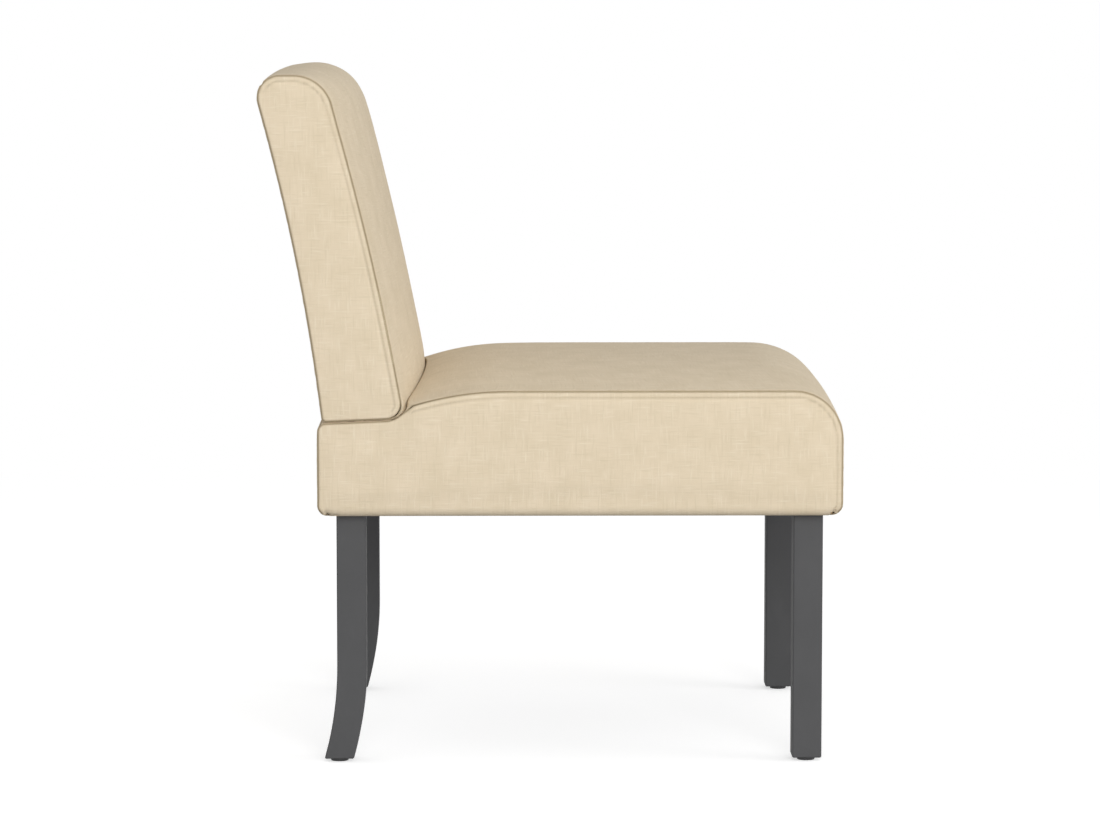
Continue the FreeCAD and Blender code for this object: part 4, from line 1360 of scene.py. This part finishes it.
def swell(panels: list[Panel], pressure: float = 4.0, frames: int = 20) -> None:
    """Swells panels over their filling with one cloth simulation of coarse copies.

    Each copy is held along its edges and pushed outwards by an even pressure. A panel then moves
    along its own normals as far as its copy did, up to its cap.

    Args:
        panels: The panels.
        pressure: The pressure inside.
        frames: How long it acts.
    """
    points, faces, held, copies, first = [], [], [], [], 0
    for panel in panels:
        rows, columns = panel.thinned()
        grid = panel.points[np.ix_(rows, columns)]
        quads = quads_of(len(rows), len(columns))
        middle = grid[len(rows) // 2:, len(columns) // 2:][:2, :2]
        order = np.cross(middle[0, 1] - middle[0, 0], middle[1, 0] - middle[0, 0])
        quads = quads if order @ panel.outward > 0 else quads[:, ::-1]
        edge = np.ones((len(rows), len(columns)), dtype=bool)
        edge[1:-1, 1:-1] = panel.held[np.ix_(rows, columns)][1:-1, 1:-1] > 0.9
        points.append(grid.reshape(-1, 3))
        faces.append(quads + first)
        held.append(np.flatnonzero(edge.ravel()) + first)
        copies.append((panel, rows, columns, first))
        first += grid.shape[0] * grid.shape[1]
    start = np.concatenate(points)
    sheet = make_object("filling", start, np.concatenate(faces))
    group = sheet.vertex_groups.new(name="sewn")
    group.add(np.concatenate(held).tolist(), 1.0, "REPLACE")
    cloth = sheet.modifiers.new("cloth", "CLOTH")
    cloth.settings.quality = 6
    cloth.settings.mass = 0.4
    cloth.settings.tension_stiffness = 40
    cloth.settings.compression_stiffness = 40
    cloth.settings.shear_stiffness = 20
    cloth.settings.bending_stiffness = 2
    cloth.settings.vertex_group_mass = "sewn"
    cloth.settings.use_pressure = True
    cloth.settings.uniform_pressure_force = pressure
    cloth.settings.effector_weights.gravity = 0
    cloth.collision_settings.use_collision = False
    cloth.point_cache.frame_start = 1
    cloth.point_cache.frame_end = frames
    for number in range(1, frames + 1):
        bpy.context.scene.frame_set(number)
    shaped = sheet.evaluated_get(bpy.context.evaluated_depsgraph_get()).data
    end = np.empty(len(shaped.vertices) * 3, dtype=np.float32)
    shaped.vertices.foreach_get("co", end)
    moved = end.reshape(-1, 3) / MM - start
    bpy.data.objects.remove(sheet)
    bpy.context.scene.frame_set(1)
    for panel, rows, columns, first in copies:
        count = len(rows) * len(columns)
        part = moved[first:first + count].reshape(len(rows), len(columns), 3)
        out = (part * panel.normals[np.ix_(rows, columns)]).sum(-1)
        LOG.info("%s swells by %.1f mm before its cap", panel.name, out.max())
        panel.swollen(out, rows, columns)


# ---------------------------------------------------------------------------------------------
# Filling, underside and the parts kept from the frame
# ---------------------------------------------------------------------------------------------


@dataclass
class Filling:
    """The cushions' foam pads: the frame's own pads with their points merged."""

    nodes: tuple[str, ...] = ("seat_pad", "back_pad")
    wadding_bottom: float = 288.0
    top_squeeze: float = 0.32
    top_drop: float = 16.0

    def build(self) -> list[bpy.types.Object]:
        """Copies each pad and merges its points.

        Returns:
            The copies.
        """
        made = []
        for node in self.nodes:
            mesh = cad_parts[node].data.copy()
            mesh.materials.clear()
            pad = bpy.data.objects.new(f"{node}_foam", mesh)
            bpy.context.scene.collection.objects.link(pad)
            weld(pad)
            self.trim(pad, node)
            made.append(pad)
        return made

    def trim(self, pad: bpy.types.Object, node: str) -> None:
        """Trims a pad where its cover is drawn in.

        That is above the folded hem, beside the back's foot, and in the back's rounded top, where
        the pad is squeezed towards its sloping middle and lowered.

        Args:
            pad: The pad.
            node: Which pad it is.
        """
        points = np.empty(len(pad.data.vertices) * 3, dtype=np.float32)
        pad.data.vertices.foreach_get("co", points)
        points = points.reshape(-1, 3)
        x, y, z = (points / MM).T
        beside = np.abs(y) > 250
        if node == "seat_pad":
            slope = beside & (x > -190) & (x < -95) & (z > 383)
            points[slope] += np.array([16, 0, -6]) * MM
            points[:, 2] = np.maximum(points[:, 2], self.wadding_bottom * MM)
        else:
            foot = beside & (x > -200) & (z < 430)
            points[foot] += np.array([-10, 0, 6]) * MM
            high = np.clip((z - 540) / 160, 0, 1)
            middle = -234 - 0.268 * (z - 561.7)
            points[:, 0] -= self.top_squeeze * high * (x - middle) * MM
            points[:, 2] -= self.top_drop * high * MM
        pad.data.vertices.foreach_set("co", points.ravel())
        pad.data.update()


@dataclass
class Underside:
    """The staples that hold the dust cover to the frame."""

    staple_length: float = 10.0
    wire: float = 0.6
    pitch: float = 46.0
    margin: float = 6.0

    def build(self) -> bpy.types.Object:
        """Makes the row of staples round the dust cover.

        A staple is a flat wire: its section is a square of eight points and its line dips at both
        ends as the sixth power.

        Returns:
            The piece.
        """
        low, high = (np.array(corner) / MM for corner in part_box("dust_cover"))
        low, high = low[:2] + self.margin, high[:2] - self.margin
        ring = np.array([low, [high[0], low[1]], high, [low[0], high[1]], low])
        along = lengths_along(ring)
        count = int(along[-1] / self.pitch)
        middles = (np.arange(count) + 0.5) * along[-1] / count
        place = points_at(ring, middles)
        legs = np.array([[s * 236, t * 231] for s in (-1, 1) for t in (-1, 1)]) + [14, 0]
        place = place[np.linalg.norm(place[:, None] - legs, axis=-1).min(-1) > 34]
        way = np.where(np.abs(place[:, 1:] - (low[1] + high[1]) / 2) > (high[1] - low[1]) / 2 - 1,
                       [[1.0, 0.0]], [[0.0, 1.0]])
        random = np.random.default_rng(5)
        swing = random.normal(0, 0.12, len(place))[:, None]
        way = unit(way + swing * way[:, ::-1])
        across = np.stack([-way[:, 1], way[:, 0]], -1)
        share = np.linspace(-1, 1, 9)
        corner = np.array([[-1, -1], [1, -1], [1, 1], [-1, 1]]) * self.wire / 2
        drop = 276.6 + 1.4 * share ** 8
        flat = (place[:, None, None] + way[:, None, None] * (share * self.staple_length / 2)[None, :, None, None]
                + across[:, None, None] * corner[None, None, :, :1])
        height = np.broadcast_to(drop[None, :, None, None] + corner[None, None, :, 1:] * 0.7,
                                 (*flat.shape[:3], 1))
        points = np.concatenate([flat, height], axis=-1)
        one = quads_of(9, 4, around=True)
        faces = (one[None] + 36 * np.arange(len(place))[:, None, None]).reshape(-1, 4)
        piece = make_object("dust_cover_staples", points, faces)
        weld(piece)
        return piece


@dataclass(frozen=True)
class Studio:
    """The camera, the soft lamps, the pale floor and the white surround."""

    camera_place: tuple[float, float, float] = (-0.0530, -4.6957, 0.8564)
    camera_turn: float = 0.01156
    camera_tilt: float = 0.10409
    lens: float = 132.68
    ambient: float = 0.66
    zenith: float = 0.46

    def build(self) -> None:
        """Builds the whole studio."""
        self.camera()
        self.lamps()
        self.surround()
        self.floor()
        bpy.context.scene.view_settings.view_transform = "Standard"

    def camera(self) -> None:
        """Places the camera as in the photograph: level with the back's top, tilted down."""
        data = bpy.data.cameras.new("camera")
        data.lens, data.sensor_width = self.lens, 36
        data.clip_end = 100
        camera = bpy.data.objects.new("camera", data)
        camera.location = self.camera_place
        camera.rotation_euler = (math.pi / 2 - self.camera_tilt, 0, -self.camera_turn)
        bpy.context.scene.collection.objects.link(camera)
        bpy.context.scene.camera = camera

    def lamps(self) -> None:
        """Hangs two large soft lamps: one behind the camera and one before the chair."""
        for name, place, size, power in (
                ("key", (0.6, -4.6, 1.5), 3.2, 126), ("front", (4.4, -1.2, 1.5), 2.6, 44)):
            data = bpy.data.lights.new(name, "AREA")
            data.shape, data.size, data.energy = "DISK", size, power
            lamp = bpy.data.objects.new(name, data)
            lamp.location = place
            aim = np.array([0, 0, 0.42]) - np.array(place)
            flat = math.hypot(aim[0], aim[1])
            lamp.rotation_euler = (math.pi / 2 + math.atan2(aim[2], flat), 0,
                                   math.atan2(aim[1], aim[0]) - math.pi / 2)
            bpy.context.scene.collection.objects.link(lamp)

    def surround(self) -> None:
        """Makes a surround that is white to look at and in reflections, and dimmer as a light."""
        world = bpy.data.worlds.new("surround")
        bpy.context.scene.world = world
        world.use_nodes = True
        tree = world.node_tree
        tree.nodes.clear()
        rays = add(tree, "LightPath")
        seen = add(tree, "Math", {0: rays.outputs["Is Camera Ray"], 1: rays.outputs["Is Glossy Ray"]},
                   operation="ADD")
        seen = add(tree, "Math", {0: seen.outputs[0], 1: rays.outputs["Is Transmission Ray"]},
                   operation="ADD", use_clamp=True)
        height = add(tree, "SeparateXYZ", {0: add(tree, "TexCoord").outputs["Generated"]}).outputs[2]
        level = add(tree, "MapRange", {"Value": height, "From Min": 0.0, "From Max": 1.0,
                                       "To Min": self.ambient, "To Max": self.zenith})
        light = add(tree, "Background", {"Color": (1, 1, 1, 1), "Strength": level.outputs[0]})
        white = add(tree, "Background", {"Color": (1, 1, 1, 1), "Strength": 1.0})
        both = add(tree, "MixShader", {0: seen.outputs[0], 1: light.outputs[0], 2: white.outputs[0]})
        add(tree, "OutputWorld", {"Surface": both.outputs[0]})

    def floor(self) -> None:
        """Lays a round pale floor that keeps the chair's shadow and ends in the white surround.

        From below it is clear, so that the chair's underside can be seen.
        """
        radius = np.array([0.0, 1.0, 3.0, 9.0])[:, None] / MM
        angle = np.arange(96) * 2 * np.pi / 96
        points = np.stack([radius * np.cos(angle), radius * np.sin(angle),
                           np.zeros((4, 96))], axis=-1)
        floor = make_object("floor", points, quads_of(4, 96, around=True))
        weld(floor)
        if floor.data.polygons[0].normal.z < 0:
            floor.data.flip_normals()
        material, tree = new_material("pale_studio_floor")
        rays = add(tree, "LightPath")
        paper = add(tree, "BsdfDiffuse", {"Color": (0.4, 0.4, 0.4, 1)})
        pale = add(tree, "BsdfDiffuse", {"Color": (0.8, 0.8, 0.8, 1)})
        glow = add(tree, "Emission", {"Color": (1, 1, 1, 1), "Strength": 0.56})
        lit = add(tree, "AddShader", {0: pale.outputs[0], 1: glow.outputs[0]})
        seen = add(tree, "Math", {0: rays.outputs["Is Camera Ray"], 1: rays.outputs["Is Glossy Ray"]},
                   operation="ADD", use_clamp=True)
        body = add(tree, "MixShader", {0: seen.outputs[0], 1: paper.outputs[0], 2: lit.outputs[0]})
        white = add(tree, "Emission", {"Color": (1, 1, 1, 1), "Strength": 1.0})
        place = add(tree, "VectorMath", {0: add(tree, "TexCoord").outputs["Object"]}, operation="LENGTH")
        far = add(tree, "MapRange", {"Value": place.outputs["Value"], "From Min": 0.9, "From Max": 2.6},
                  interpolation_type="SMOOTHSTEP").outputs[0]
        edge = add(tree, "Math", {0: far, 1: seen.outputs[0]}, operation="MULTIPLY")
        top = add(tree, "MixShader", {0: edge.outputs[0], 1: body.outputs[0], 2: white.outputs[0]})
        under = add(tree, "BsdfTransparent")
        back = add(tree, "NewGeometry").outputs["Backfacing"]
        whole = add(tree, "MixShader", {0: back, 1: top.outputs[0], 2: under.outputs[0]})
        add(tree, "OutputMaterial", {"Surface": whole.outputs[0]})
        floor.data.materials.append(material)


# ---------------------------------------------------------------------------------------------
# The whole chair
# ---------------------------------------------------------------------------------------------


class Chair:
    """The dressed chair: covers, filling and underside, and the finishes of the frame's parts."""

    replaced: dict[str, tuple[str, ...]] = {
        "seat_cover_top": ("seat_top_panel",),
        "seat_cover_rear": ("seat_rear_panel",),
        "seat_cover_side_left": ("seat_side_panel_left",),
        "seat_cover_side_right": ("seat_side_panel_right",),
        "back_cover_front": ("back_front_panel",),
        "back_cover_rear": ("back_rear_panel",),
        "back_cover_side_left": ("back_side_panel_left",),
        "back_cover_side_right": ("back_side_panel_right",),
        "seat_pad_foam": ("seat_pad",),
        "back_pad_foam": ("back_pad",),
    }

    def __init__(self) -> None:
        """Prepares the sub-assemblies and the finishes."""
        self.sewing = Sewing()
        self.seat = SeatCover(SeatForm(), self.sewing)
        self.back = BackCover(BackForm(), self.sewing)
        self.linen = LinenCloth().material()
        self.thread = SewingThread().material()

    def build(self) -> None:
        """Builds, dresses and hands over each piece."""
        panels = self.seat.cut() + self.back.cut()
        swell(panels)
        self.seat.sew()
        self.back.sew()
        for piece in self.seat.pieces + self.back.pieces:
            self.hand_over(piece, self.thread if "stitches" in piece.name else self.linen)
        foam = SEAT_FOAM.material()
        for pad in Filling().build():
            self.hand_over(pad, foam)
        self.hand_over(Underside().build(), ZINC_STEEL.material())
        self.dress_frame()

    def hand_over(self, piece: bpy.types.Object, material: bpy.types.Material) -> None:
        """Gives a piece its material and its place in the chair, and hides the frame's nodes that it stands for.

        Args:
            piece: The piece.
            material: Its material.
        """
        piece.data.materials.clear()
        piece.data.materials.append(material)
        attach(piece, "root")
        if piece.name in self.replaced:
            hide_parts(*self.replaced[piece.name])
        LOG.info("%s: %d faces", piece.name, len(piece.data.polygons))

    def dress_frame(self) -> None:
        """Gives the frame's own parts their materials by what each is made of."""
        finishes = {
            "leg_bolts": ZINC_STEEL, "leg_": LacqueredBeech(), "glides": GLIDE_PLASTIC,
            "dust_cover": SpunCover(), "back_webbing": WovenStrap(), "seat_webbing": WovenStrap(),
            "back_liner": LINER_BOARD,
        }
        made = {}
        for name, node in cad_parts.items():
            finish = next((kind for start, kind in finishes.items() if name.startswith(start)), FRAME_PINE)
            if finish.name not in made:
                made[finish.name] = finish.material()
            node.data.materials.clear()
            node.data.materials.append(made[finish.name])
            LOG.info("%s: %s", name, finish.name)


def main() -> None:
    """Builds the studio and the chair."""
    logging.basicConfig(level=logging.INFO, format="%(name)s: %(message)s")
    Studio().build()
    Chair().build()


if __name__ == "__main__":
    main()
